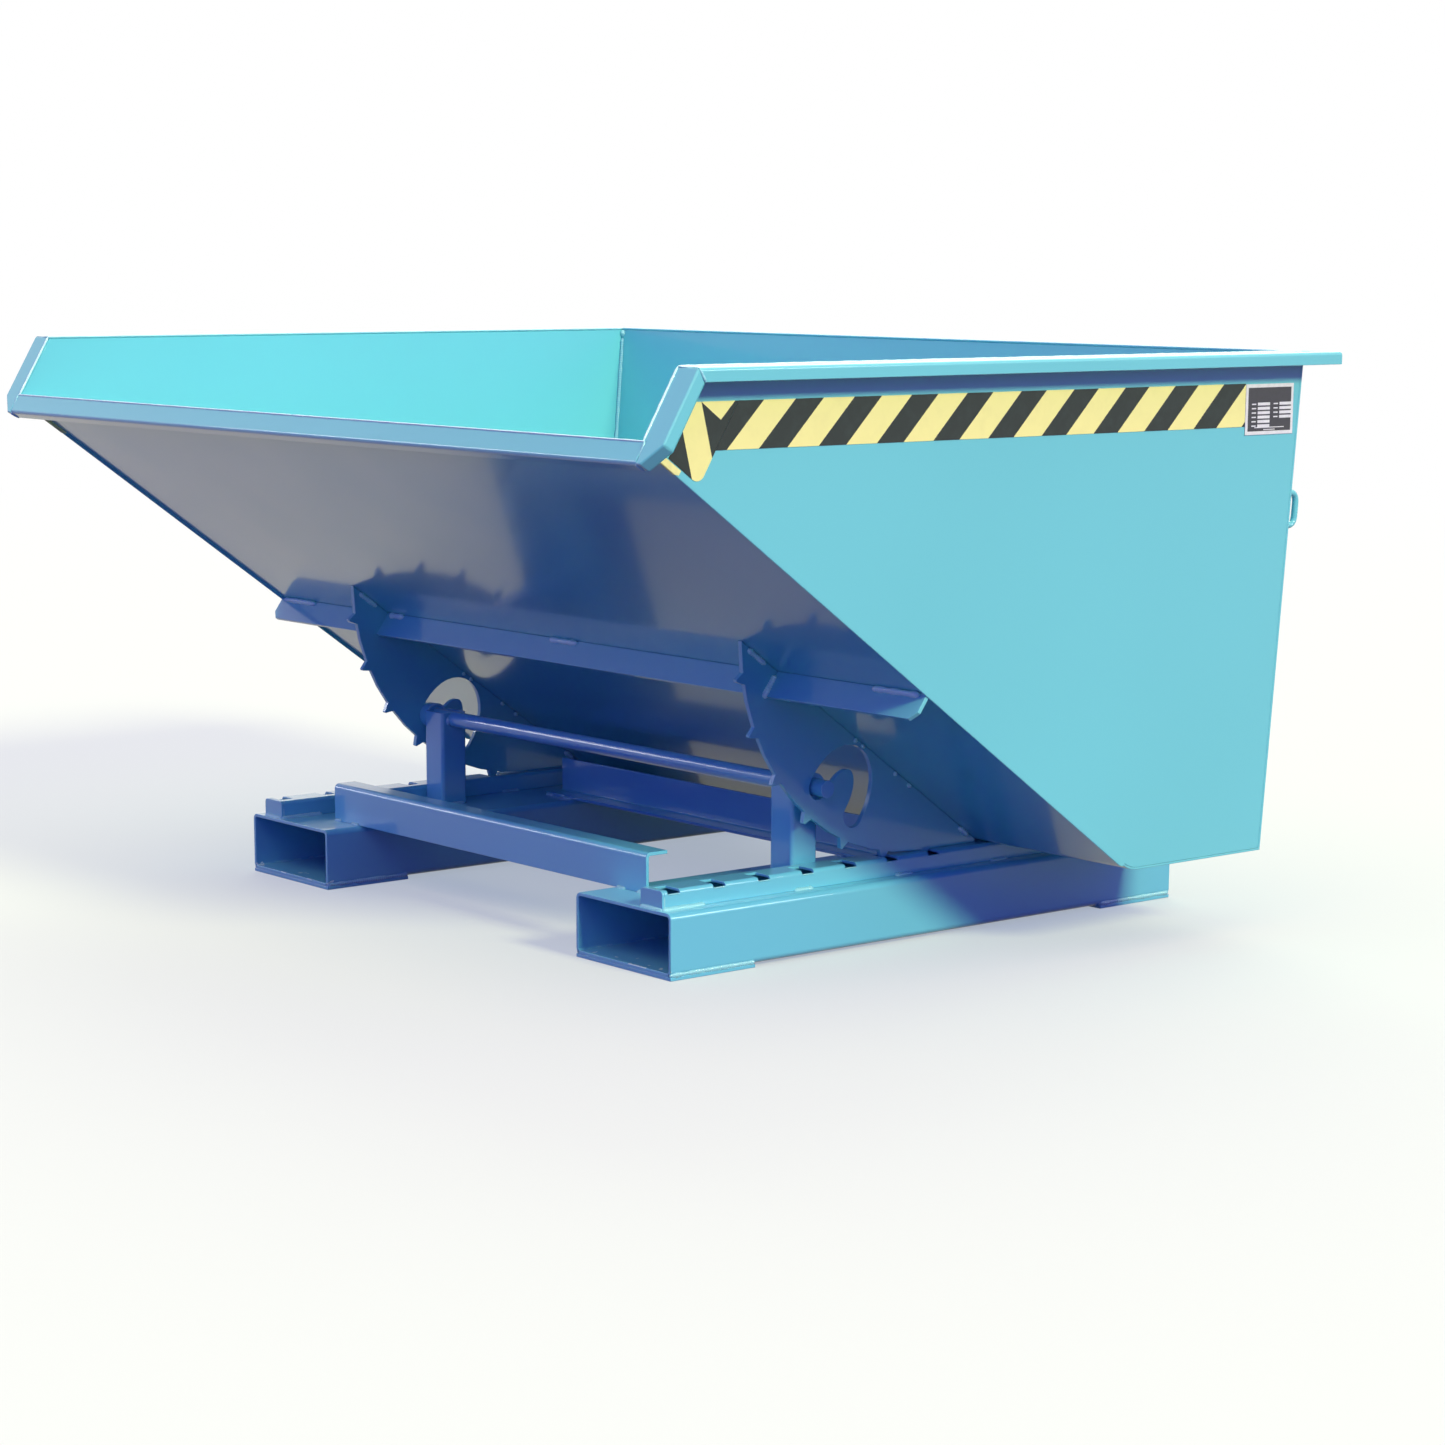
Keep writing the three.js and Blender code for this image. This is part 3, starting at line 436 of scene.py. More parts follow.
for node in SKIP_SHEETS + SKIP_PLATES + LATCH_PLATES:
    eased(node, skip_paint)
for node in pair("mouth_rim"):
    eased(node, skip_paint, bend=RIM_BEND)
for node in BENT_RODS:
    round_rod(node, skip_paint)
for node in FRAME_TUBES:
    eased(node, frame_paint)
for node in POCKETS:
    eased(node, pocket_paint)
for node in BRIGHT_FITTINGS:
    eased(node, zinc, edge=FITTING_EDGE)


def round_low_corner(bm):
    """Rounds the rear lower corner of the tape at the mouth."""
    lowest = min(vertex.co.z for vertex in bm.verts)
    corner = [e for e in bm.edges if all(abs(v.co.z - lowest) < SAME_POINT for v in e.verts)]
    bmesh.ops.bevel(bm, geom=corner, offset=TAPE_CORNER, segments=6, profile=0.5, affect="EDGES")


for node in pair("side_hazard_tape"):
    eased(node, film, edge=FILM_EDGE)
for node in pair("front_hazard_tape"):
    eased(node, film, edge=FILM_EDGE, shape=round_low_corner)


# Rating plate: a dark face in a light border, with blank fields

PLATE_BORDER = 5 * MM
FIELD = Vector((25.5 * MM, 4.1 * MM))
FIELD_PITCH = 6.1 * MM
FIELD_COLUMNS = (
    {"from_front": 25 * MM, "from_top": 26 * MM, "count": 6},
    {"from_front": 70.5 * MM, "from_top": 26 * MM, "count": 4},
)
LABEL = Vector((9 * MM, 1.8 * MM))
LABEL_GAP = 3.5 * MM
FOOT_LINES = (
    {"width": 62 * MM, "from_foot": 9.5 * MM},
    {"width": 24 * MM, "from_foot": 6.5 * MM},
)
FOOT_LINE_HEIGHT = 1.2 * MM
PRINT_RISE = 0.15 * MM


def add_pad(bm, x, low, high):
    """A thin pad on the plane at x, between two corners (y, z), with a small chamfer round its top."""
    corners = [(low[0], low[1]), (high[0], low[1]), (high[0], high[1]), (low[0], high[1])]
    middle = Vector(((low[0] + high[0]) / 2, (low[1] + high[1]) / 2))
    rings = []
    for height, inset in ((0.0, 0.0), (PRINT_RISE / 2, 0.0), (PRINT_RISE, PRINT_RISE)):
        ring = []
        for corner in corners:
            inward = Vector([math.copysign(inset, m - c) for m, c in zip(middle, corner)])
            ring.append(bm.verts.new((x + height, corner[0] + inward.x, corner[1] + inward.y)))
        rings.append(ring)
    for below, above in zip(rings, rings[1:]):
        for i in range(4):
            bm.faces.new((below[i], below[(i + 1) % 4], above[(i + 1) % 4], above[i]))
    bm.faces.new(rings[-1])
    bm.faces.new(reversed(rings[0]))


def pads_piece(name, x, pads, material):
    bm = bmesh.new()
    for low, high in pads:
        add_pad(bm, x, low, high)
    return place_piece(name, mesh_from(name, bm), material, "skip")


def rating_plate():
    low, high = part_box("rating_plate")
    inner_low = (low.y + PLATE_BORDER, low.z + PLATE_BORDER)
    inner_high = (high.y - PLATE_BORDER, high.z - PLATE_BORDER)
    eased("rating_plate", plate_white, edge=PLATE_EDGE)
    pads_piece("plate_dark_face", high.x, [(inner_low, inner_high)], plate_face)
    fields = []
    for column in FIELD_COLUMNS:
        for row in range(column["count"]):
            top = high.z - column["from_top"] - row * FIELD_PITCH
            start = (low.y + column["from_front"], top - FIELD.y)
            fields.append((start, (start[0] + FIELD.x, start[1] + FIELD.y)))
            label = (start[0] - LABEL_GAP - LABEL.x, start[1] + (FIELD.y - LABEL.y) / 2)
            fields.append((label, (label[0] + LABEL.x, label[1] + LABEL.y)))
    middle = (low.y + high.y) / 2
    for line in FOOT_LINES:
        half = line["width"] / 2
        foot = low.z + line["from_foot"]
        fields.append(((middle - half, foot), (middle + half, foot + FOOT_LINE_HEIGHT)))
    pads_piece("plate_blank_fields", high.x + PRINT_RISE, fields, plate_white)


rating_plate()


# Weld beads: each follows a path, and its ripples are worked out along it

RIPPLE_PITCH = 4 * MM
RIPPLE_DEPTH = 0.22
RINGS_PER_RIPPLE = 4
UNEVENNESS = 0.9
UNEVEN_SCALE = 75.0
BEAD_LEAST = 0.9
BEAD_SIDES = 8
END_TAPER = 4 * MM
END_SHARE = 0.5
WELD_SEED = 4.0


def group_input(tree, name, kind, value=None):
    socket = tree.interface.new_socket(name=name, in_out="INPUT", socket_type=kind)
    if value is not None:
        socket.default_value = value
    return socket.identifier


def weld_bead_tree():
    """Takes a curve that has a radius at each point, and gives its rippled bead.

    Returned with it: the identifiers of its inputs.
    """
    group = bpy.data.node_groups.new("weld_bead", "GeometryNodeTree")
    group.interface.new_socket(name="Geometry", in_out="OUTPUT", socket_type="NodeSocketGeometry")
    keys = {
        "Curve": group_input(group, "Curve", "NodeSocketGeometry"),
        "Ripple pitch": group_input(group, "Ripple pitch", "NodeSocketFloat", RIPPLE_PITCH),
        "Ripple depth": group_input(group, "Ripple depth", "NodeSocketFloat", RIPPLE_DEPTH),
        "Unevenness": group_input(group, "Unevenness", "NodeSocketFloat", UNEVENNESS),
        "Seed": group_input(group, "Seed", "NodeSocketFloat", WELD_SEED),
        "Material": group_input(group, "Material", "NodeSocketMaterial"),
    }
    tree = Tree(group)
    given = tree.add("NodeGroupInput").outputs
    step = tree.math("DIVIDE", given["Ripple pitch"], float(RINGS_PER_RIPPLE))
    fine = tree.add("GeometryNodeResampleCurve", {"Curve": given["Curve"], "Length": step}, mode="LENGTH")

    length = tree.add("GeometryNodeSplineParameter").outputs["Length"]
    whole = tree.add("GeometryNodeSplineLength").outputs["Length"]
    turns = tree.math("DIVIDE", length, given["Ripple pitch"])
    swell = tree.math("ABSOLUTE", tree.math("SINE", tree.math("MULTIPLY", turns, math.pi)))
    ripple = tree.math("ADD", BEAD_LEAST, tree.math("MULTIPLY", given["Ripple depth"], swell))
    here = tree.add("GeometryNodeInputPosition").outputs[0]
    inputs = {"Vector": here, "W": given["Seed"], "Scale": UNEVEN_SCALE, "Detail": 1.0}
    noise = tree.add("ShaderNodeTexNoise", inputs, noise_dimensions="4D").outputs["Fac"]
    uneven = tree.math("MULTIPLY", tree.math("SUBTRACT", noise, 0.5), given["Unevenness"])
    ends = tree.math("MINIMUM", length, tree.math("SUBTRACT", whole, length))
    taper = tree.spread(ends, 0.0, END_TAPER, END_SHARE, 1.0)
    size = tree.math("MULTIPLY", tree.math("ADD", ripple, uneven), taper)
    bead = tree.math("MULTIPLY", size, tree.add("GeometryNodeInputRadius").outputs[0])

    profile = tree.add("GeometryNodeCurvePrimitiveCircle", {"Resolution": BEAD_SIDES, "Radius": 1.0})
    solid = tree.add(
        "GeometryNodeCurveToMesh",
        {
            "Curve": fine.outputs["Curve"],
            "Profile Curve": profile.outputs["Curve"],
            "Scale": bead,
            "Fill Caps": True,
        },
    )
    smooth = tree.add("GeometryNodeSetShadeSmooth", {0: solid.outputs["Mesh"]})
    real = tree.add("GeometryNodeRealizeInstances", {"Geometry": smooth.outputs[0]})
    finish = {"Geometry": real.outputs[0], "Material": given["Material"]}
    coated = tree.add("GeometryNodeSetMaterial", finish)
    tree.add("NodeGroupOutput", {0: coated.outputs[0]})
    return group, keys


bead_group, bead_keys = weld_bead_tree()


def weld_piece(name, beads, material, body):
    """One piece of all the beads on a body. A bead is a radius and the points that it follows."""
    curve = bpy.data.curves.new(name, "CURVE")
    curve.dimensions = "3D"
    for radius, points in beads:
        spline = curve.splines.new("POLY")
        spline.points.add(len(points) - 1)
        for target, point in zip(spline.points, points):
            target.co = (*point, 1.0)
            target.radius = radius
    path = bpy.data.objects.new(name, curve)
    bpy.context.scene.collection.objects.link(path)
    growth = path.modifiers.new("growth", "NODES")
    growth.node_group = bead_group
    growth[bead_keys["Material"]] = material
    graph = bpy.context.evaluated_depsgraph_get()
    mesh = bpy.data.meshes.new_from_object(path.evaluated_get(graph), depsgraph=graph)
    path.modifiers.clear()
    bpy.data.objects.remove(path)
    mesh.name = name
    return place_piece(name, mesh, material, body)


def extreme(node, x, y, z):
    """The corner of a node that lies furthest in a direction."""
    direction = Vector((x, y, z))
    return max((v.co for v in frame["nodes"][node].data.vertices), key=direction.dot).copy()


def stitches(start, end, length, pitch, radius):
    """Short beads at an even pitch along a line, centred between its ends."""
    run = end - start
    count = max(1, int((run.length - length) / pitch) + 1)
    along = run.normalized()
    first = (run.length - (count - 1) * pitch - length) / 2
    starts = [start + along * (first + i * pitch) for i in range(count)]
    return [(radius, [at, at + along * length]) for at in starts]


def bead_across(radius, xs, y, z):
    """A bead along X."""
    return (radius, [Vector((x, y, z)) for x in xs])


def bead_along(radius, x, ys, z):
    """A bead along Y."""
    return (radius, [Vector((x, y, z)) for y in ys])


def bead_upright(radius, x, y, zs):
    """A bead along Z."""
    return (radius, [Vector((x, y, z)) for z in zs])


def part_of(start, end, part):
    """The points of a bead on part of a line. part is two shares of the line's length."""
    return [start.lerp(end, share) for share in part]


def both_sides(beads):
    """The beads of the right side, and their mirror images at the left."""
    mirrored = []
    for radius, points in beads:
        mirrored.append((radius, [Vector((-point.x, point.y, point.z)) for point in points]))
    return beads + mirrored


def ring(x, y, z, radius, from_turn=0.0, to_turn=1.0, steps=24):
    """Points on a circle about a line along X."""
    turns = [from_turn + (to_turn - from_turn) * i / steps for i in range(steps + 1)]
    angles = [2 * math.pi * turn for turn in turns]
    return [Vector((x, y + radius * math.cos(a), z + radius * math.sin(a))) for a in angles]


# Radii of the beads
FILLET = 4.4 * MM
LIGHT_FILLET = 3.5 * MM
HEAVY_FILLET = 5.2 * MM
RAIL_FILLET = 1.15 * LIGHT_FILLET
TACK = 4.0 * MM
CAP_SEAM = 1.4 * MM
COLLAR_SEAM = 1.6 * MM
MITRE_SEAM = 1.2 * MM
SIDE_SEAM = 1.7 * MM
LIP_SEAM = 1.1 * MM
RIM_CORNER = 2.0 * MM
LIP_CORNER = 1.8 * MM
SLOT_BURR = 1.1 * MM

# Where the beads on the frame start, end and repeat
RAIL_LONG_BEAD = 74 * MM
RAIL_PLAIN_PART = 110 * MM
STITCH_LENGTH = 34 * MM
STITCH_PITCH = 190 * MM
CAP_SEAM_INSET = 1 * MM
CAP_BEND = 8 * MM
SLOT_DEPTH = 6 * MM
SLOT_FACE_SLACK = 0.1 * MM
SLOT_FOOT_SLACK = 0.3 * MM
POCKET_BEND = 9 * MM
PLATE_GROOVE = 3.6 * MM
GROOVE_SINK = 1 * MM
BEAM_FOOT_PARTS = ((0.0, 0.3), (0.7, 1.0))
BEAM_END_BEAD = 7 * MM
POST_INSET = 6 * MM
POST_TACK_END = 15.6 * MM
COLLAR_INSET = 1 * MM
EAR_INSET = 3 * MM
BAR_BEADS = ((0.45, 0.62), (0.80, 0.98))


def rail_welds():
    """Along the foot of the right rail: a long bead behind the cap on each side, then stitches."""
    cap_low, cap_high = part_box("right_rail_front_cap")
    rail_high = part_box("right_rail")[1]
    beads = []
    for x in (cap_low.x, cap_high.x):
        front = Vector((x, cap_low.y, POCKET_TOP))
        rear = Vector((x, rail_high.y, POCKET_TOP))
        long_end = front + Vector((0, RAIL_LONG_BEAD, 0))
        stitched = long_end + Vector((0, RAIL_PLAIN_PART, 0))
        beads.append((RAIL_FILLET, [front, long_end]))
        beads += stitches(stitched, rear, STITCH_LENGTH, STITCH_PITCH, LIGHT_FILLET)
    beads.append(bead_across(LIGHT_FILLET, (cap_low.x, cap_high.x), cap_low.y, POCKET_TOP))
    for x in (cap_low.x + CAP_SEAM_INSET, cap_high.x - CAP_SEAM_INSET):
        beads.append(bead_upright(CAP_SEAM, x, cap_high.y, (cap_low.z, cap_high.z - CAP_BEND)))
    return beads + slot_burrs(rail_high)


def slot_burrs(rail_high):
    """Paint that has gathered along the outer low edge of each slot in the right rail. In the lighter weld
    paint, these beads draw painted highlight lines.
    """
    height = rail_high.z - SLOT_DEPTH
    depths = set()
    for vertex in frame["nodes"]["right_rail"].data.vertices:
        on_outer_face = rail_high.x - vertex.co.x < SLOT_FACE_SLACK
        at_slot_foot = abs(vertex.co.z - height) < SLOT_FOOT_SLACK
        if on_outer_face and at_slot_foot:
            depths.add(round(vertex.co.y, 4))
    corners = sorted(depths)[1:-1]
    return [bead_along(SLOT_BURR, rail_high.x, ends, height) for ends in zip(corners[::2], corners[1::2])]


def foot_plate_welds(name):
    """In the grooves between a foot plate and the round lower edges of its pocket, and at its free end."""
    low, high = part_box(name)
    groove_height = high.z + PLATE_GROOVE - GROOVE_SINK
    beads = []
    for x in (low.x + PLATE_GROOVE, high.x - PLATE_GROOVE):
        beads.append(bead_along(FILLET, x, (low.y, high.y), groove_height))
    free_end = high.y if low.y < 0 else low.y
    beads.append(bead_across(LIGHT_FILLET, (low.x + POCKET_BEND, high.x - POCKET_BEND), free_end, high.z))
    return beads


def beam_foot_welds(name):
    """Where a beam stands on the right pocket: beads along both sides of its foot."""
    low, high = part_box(name)
    pocket_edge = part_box("right_fork_pocket")[0].x + POCKET_BEND
    beads = []
    for y in (low.y, high.y):
        start = Vector((pocket_edge, y, POCKET_TOP))
        end = Vector((high.x, y, POCKET_TOP))
        for part in BEAM_FOOT_PARTS:
            beads.append((LIGHT_FILLET, part_of(start, end, part)))
    return beads


def beam_end_welds(name):
    """At the cut end of a beam's upright leg, where it meets the pocket's top."""
    low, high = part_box(name)
    return [bead_along(TACK, high.x, (low.y, low.y + BEAM_END_BEAD), POCKET_TOP)]


def post_welds():
    """Round the foot of the right post, and where the bar passes through it."""
    low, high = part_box("right_guide_post")
    inner = low + Vector((POST_INSET, POST_INSET, 0))
    outer = high - Vector((POST_INSET, POST_INSET, 0))
    beads = [bead_across(LIGHT_FILLET, (inner.x, outer.x), y, low.z) for y in (low.y, high.y)]
    beads.append(bead_along(LIGHT_FILLET, low.x, (inner.y, outer.y), low.z))
    beads.append(bead_along(TACK, high.x, (inner.y, low.y + POST_TACK_END), low.z))
    bar_low, bar_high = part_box("guide_bar")
    middle = (bar_low + bar_high) / 2
    bar_radius = (bar_high.z - bar_low.z) / 2
    collar_low, collar_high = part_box("right_bar_collar")
    seam_radius = (collar_high.z - collar_low.z) / 2 - COLLAR_INSET
    beads.append((COLLAR_SEAM, ring(collar_low.x, middle.y, middle.z, seam_radius)))
    for from_turn, to_turn in BAR_BEADS:
        arc = ring(low.x, middle.y, middle.z, bar_radius, from_turn, to_turn, steps=8)
        beads.append((LIGHT_FILLET, arc))
    return beads


def ear_welds():
    low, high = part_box("right_latch_ear")
    ends = (low.y + EAR_INSET, high.y - EAR_INSET)
    return [bead_along(LIGHT_FILLET, x, ends, low.z) for x in (low.x, high.x)]


frame_beads = rail_welds() + post_welds() + ear_welds()
for plate in ("right_front_foot_plate", "right_rear_foot_plate"):
    frame_beads += foot_plate_welds(plate)
for beam in ("front_cross_beam", "middle_cross_beam", "rear_cross_beam"):
    frame_beads += beam_foot_welds(beam) + beam_end_welds(beam)
# The frame's beads take the lighter weld paint, a painted highlight.
weld_piece("frame_weld_beads", both_sides(frame_beads), weld_paint, "base")


# The slope of the floor sheet: its front edge, its bend, and the directions up along it and out from it

slope_top = extreme("floor_sheet", 0, -1, 0)
slope_low = extreme("floor_sheet", 0, -0.55, -0.835)
slope_up = slope_top - slope_low
slope_up.x = 0.0
slope_up.normalize()
slope_out = Vector((0, -slope_up.z, slope_up.y))


# The side panels stand a little proud of the slope's underside, and the tapes are folded round their edges

EDGE_RISE = 4 * MM
EDGE_ROUND = 0.8 * MM
EDGE_TAPER = 6 * MM
EDGE_END_SHARE = 0.4
EDGE_SINK = 1 * MM
EDGE_WRAP = 5 * MM
EDGE_TUCK = 0.5 * MM
PAINT_SKIN = 0.3 * MM
FOLD_SKIN = 0.6 * MM
EDGE_FROM_LIP = 6 * MM
FOLD_FRONT = -592 * MM
FOLD_REAR = {"right": -556 * MM, "left": -529 * MM}


def slope_at(y):
    """The place at the depth y on the underside of the slope."""
    return slope_low + slope_up * ((y - slope_low.y) / slope_up.y)


def edge_cover(name, side, front, rear, grow, material):
    """A skin round the lower edge of one side panel, from one depth to another, thinner at its ends."""
    panel_low, panel_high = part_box("right_side_panel")
    inner = panel_low.x - grow
    outer = panel_high.x + grow
    rise = EDGE_RISE + grow
    hidden = panel_high.x - EDGE_TUCK
    outline = [
        (inner, -EDGE_SINK),
        (inner, rise - EDGE_ROUND),
        (inner + EDGE_ROUND, rise),
        (outer - EDGE_ROUND, rise),
        (outer, rise - EDGE_ROUND),
        (outer, -EDGE_WRAP),
        (hidden, -EDGE_WRAP),
        (hidden, -EDGE_SINK),
    ]
    bm = bmesh.new()
    start = slope_at(front)
    end = slope_at(rear)
    taper = (end - start).normalized() * EDGE_TAPER
    places = (
        (start, EDGE_END_SHARE),
        (start + taper, 1.0),
        (end - taper, 1.0),
        (end, EDGE_END_SHARE),
    )
    rings = []
    for place, share in places:
        points = [place + slope_out * (out * share if out > 0 else out) for x, out in outline]
        rings.append([bm.verts.new((side * x, p.y, p.z)) for (x, out), p in zip(outline, points)])
    for near, far in zip(rings, rings[1:]):
        for i in range(len(outline)):
            j = (i + 1) % len(outline)
            bm.faces.new((near[i], near[j], far[j], far[i]))
    bm.faces.new(rings[0])
    bm.faces.new(reversed(rings[-1]))
    bmesh.ops.recalc_face_normals(bm, faces=bm.faces)
    place_piece(name, mesh_from(name, bm), material, "skip")


edge_front = slope_top.y + EDGE_FROM_LIP
for side_name, side in SIDES.items():
    fold_rear = FOLD_REAR[side_name]
    slope_edge = f"{side_name}_slope_edge"
    tape_fold = f"{side_name}_tape_fold"
    edge_cover(slope_edge, side, edge_front, slope_low.y, PAINT_SKIN, skip_paint)
    edge_cover(tape_fold, side, FOLD_FRONT, fold_rear, FOLD_SKIN, yellow_film)


# Beads on the skip. A part is two shares of a seam's length, between which a bead runs.

RIB_CORNER = 1.35 * HEAVY_FILLET
UPRIGHT_FOOT = 0.8 * HEAVY_FILLET
RIB_ROOT_PART = (0.66, 0.96)
RIB_LOW_ROOT_PART = (0.35, 0.60)
RIB_END_PART = (0.05, 0.95)
RIB_CORNER_PART = (0.0, 0.12)
CENTRE_RIB_PARTS = ((0.46, 0.53), (0.01, 0.05), (0.95, 0.99))
ROCKER_PARTS = ((0.03, 0.10), (0.47, 0.48), (0.50, 0.512), (0.64, 0.652), (0.70, 0.715), (0.93, 0.97))
UPRIGHT_PART = (0.02, 0.64)
UPRIGHT_TOP_PART = (0.0, 0.016)
UPRIGHT_FOOT_PART = (0.62, 0.64)
CORNER_INSET = 2.4 * MM
BEAD_SPREAD = 1.5
SHEET_COVERS = 2.6 * MM
KEEPER_ROD = 6 * MM
ROPE_EYE_ROD = 5 * MM
ROD_BEAD_STEPS = 18


def on_slope(node, x, up, out):
    """The corner of a piece under the slope: x to the right, up along the slope and out from it."""
    return extreme(node, *(Vector((x, 0, 0)) + slope_up * up + slope_out * out))


def outside(beads):
    """The same beads, moved out from the slope so far that none comes through the sheet."""
    moved = []
    for radius, points in beads:
        step = slope_out * max(0.0, BEAD_SPREAD * radius - SHEET_COVERS)
        moved.append((radius, [point + step for point in points]))
    return moved


def rib_welds():
    """Short beads at the ribs' roots, and a heavy one where each outer rib meets its rocker."""
    root = on_slope("right_outer_rib", -1, 1, -1)
    end = on_slope("right_outer_rib", 1, 1, -1)
    free = on_slope("right_outer_rib", -1, 1, 1)
    low_root = on_slope("right_outer_rib", -1, -1, -1)
    low_end = on_slope("right_outer_rib", 1, -1, -1)
    outer = [
        (FILLET, part_of(root, end, RIB_ROOT_PART)),
        (LIGHT_FILLET, part_of(low_root, low_end, RIB_LOW_ROOT_PART)),
        (HEAVY_FILLET, part_of(root, free, RIB_END_PART)),
        (RIB_CORNER, part_of(root, free, RIB_CORNER_PART)),
    ]
    beads = both_sides(outer)
    left = on_slope("centre_rib", -1, 1, -1)
    right = on_slope("centre_rib", 1, 1, -1)
    for part in CENTRE_RIB_PARTS:
        beads.append((FILLET, part_of(left, right, part)))
    return outside(beads)


def rocker_welds():
    """Beads and tacks along the seams between the right rocker and the floor sheet, on both faces."""
    beads = []
    for side in (RIGHT, LEFT):
        top = on_slope("right_rocker", side, 1, -1)
        tail = on_slope("right_rocker", side, -1, -1)
        for part in ROCKER_PARTS:
            beads.append((TACK, part_of(top, tail, part)))
    return outside(beads)


def sheet_welds():
    """In the upright corner at the right of the skip's inside, from the rim down."""
    back_top = extreme("back_sheet", 1, -1, 5)
    back_low = extreme("back_sheet", 1, -1, -5)
    back_top.x = back_low.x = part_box("right_side_panel")[0].x - CORNER_INSET
    return [
        (LIGHT_FILLET, part_of(back_top, back_low, UPRIGHT_PART)),
        (HEAVY_FILLET, part_of(back_top, back_low, UPRIGHT_TOP_PART)),
        (UPRIGHT_FOOT, part_of(back_top, back_low, UPRIGHT_FOOT_PART)),
    ]


def rim_welds():
    """Along the mitres of the rims, and at the corners of the lip."""
    front_inner = extreme("right_top_rim", -3, -1, 2)
    front_outer = extreme("right_top_rim", 5, -1, 2)
    front_low = extreme("right_top_rim", 5, -1, -2)
    rear_inner = extreme("back_top_rim", 1, -3, 2)
    rear_outer = extreme("back_top_rim", 1, 3, 2)
    lip_high = extreme("front_lip", 1, 0, 1)
    lip_low = extreme("front_lip", 1, -1, -1)
    lip_back = extreme("front_lip", 1, 0.3, -1)
    return [
        (MITRE_SEAM, [front_inner, front_outer]),
        (RIM_CORNER, [front_outer, front_low]),
        (MITRE_SEAM, [rear_inner, rear_outer]),
        (LIP_CORNER, [lip_high, lip_low, lip_back]),
    ]


def rim_seams():
    """Fine seams along the inner edges of the rims, where they meet the panel, the floor and the back.
    Their near-white paint draws painted highlight lines.
    """
    rear = extreme("right_top_rim", -30, 3, 2)
    front = extreme("right_top_rim", -30, -1, 2)
    mouth_top = extreme("right_mouth_rim", -30, -1, 2)
    mouth_foot = extreme("right_mouth_rim", -30, -1.6, -1)
    lip = extreme("front_lip", 1, -0.34, 1.37)
    back = extreme("back_top_rim", 1, -3, 2)
    return [
        (SIDE_SEAM, [rear, front]),
        (SIDE_SEAM, [mouth_top, mouth_foot]),
        bead_across(LIP_SEAM, (lip.x, 0), lip.y, lip.z),
        bead_across(LIP_SEAM, (back.x, 0), back.y, back.z),
    ]


def rod_welds():
    """A ring round each foot of the two bent rods on the back sheet."""
    back_up = (extreme("back_sheet", 0, 1, 5) - extreme("back_sheet", 0, 1, -5)).normalized()
    out = Vector((0, back_up.z, -back_up.y))
    sideways = Vector((1, 0, 0))
    angles = [2 * math.pi * i / ROD_BEAD_STEPS for i in range(ROD_BEAD_STEPS + 1)]
    rods = (
        ("latch_keeper", sideways, KEEPER_ROD),
        ("rope_eye", back_up, ROPE_EYE_ROD),
    )
    beads = []
    for node, across, radius in rods:
        turn = across.cross(out).normalized()
        for side in (LEFT, RIGHT):
            foot = extreme(node, *(across * side - out * 4))
            centre = foot - across * side * radius
            points = [centre + (across * math.cos(a) + turn * math.sin(a)) * radius for a in angles]
            beads.append((LIGHT_FILLET, points))
    return beads


skip_beads = both_sides(sheet_welds() + rim_welds()) + rod_welds()
slope_beads = rib_welds() + both_sides(rocker_welds())
# The skip's beads take the lighter weld paint, a painted highlight.
weld_piece("skip_weld_beads", skip_beads, weld_paint, "skip")
# The rims' seams take the near-white paint: painted highlight lines.
weld_piece("rim_seam_beads", both_sides(rim_seams()), seam_paint, "skip")
# The beads under the slope take the paler paint: painted light, as they stand in shade.
weld_piece("slope_weld_beads", slope_beads, slope_weld_paint, "skip")


# Stage: a plain pale floor, soft light and the camera

WHITE = (1.0, 1.0, 1.0, 1.0)
FLOOR_SIZE = 60.0
FLOOR_SINK = 0.3 * MM
FLOOR_SEEN = (0.40, 0.41, 0.33, 1.0)
FLOOR_BOUNCE = (0.03, 0.035, 0.15, 1.0)
FLOOR_LIFT = (0.37, 0.415, 0.49, 1.0)
FLOOR_MIRRORED = (0.30, 0.285, 0.22, 1.0)
WHITE_FROM = 2.0
WHITE_AT = 9.0


def seen_rays(tree):
    """1 for the camera's rays and for mirrored and transmitted ones, 0 for those that only carry light."""
    path = tree.add("ShaderNodeLightPath").outputs
    mirrored = tree.math("MAXIMUM", path["Is Glossy Ray"], path["Is Transmission Ray"])
    return tree.math("MAXIMUM", path["Is Camera Ray"], mirrored)


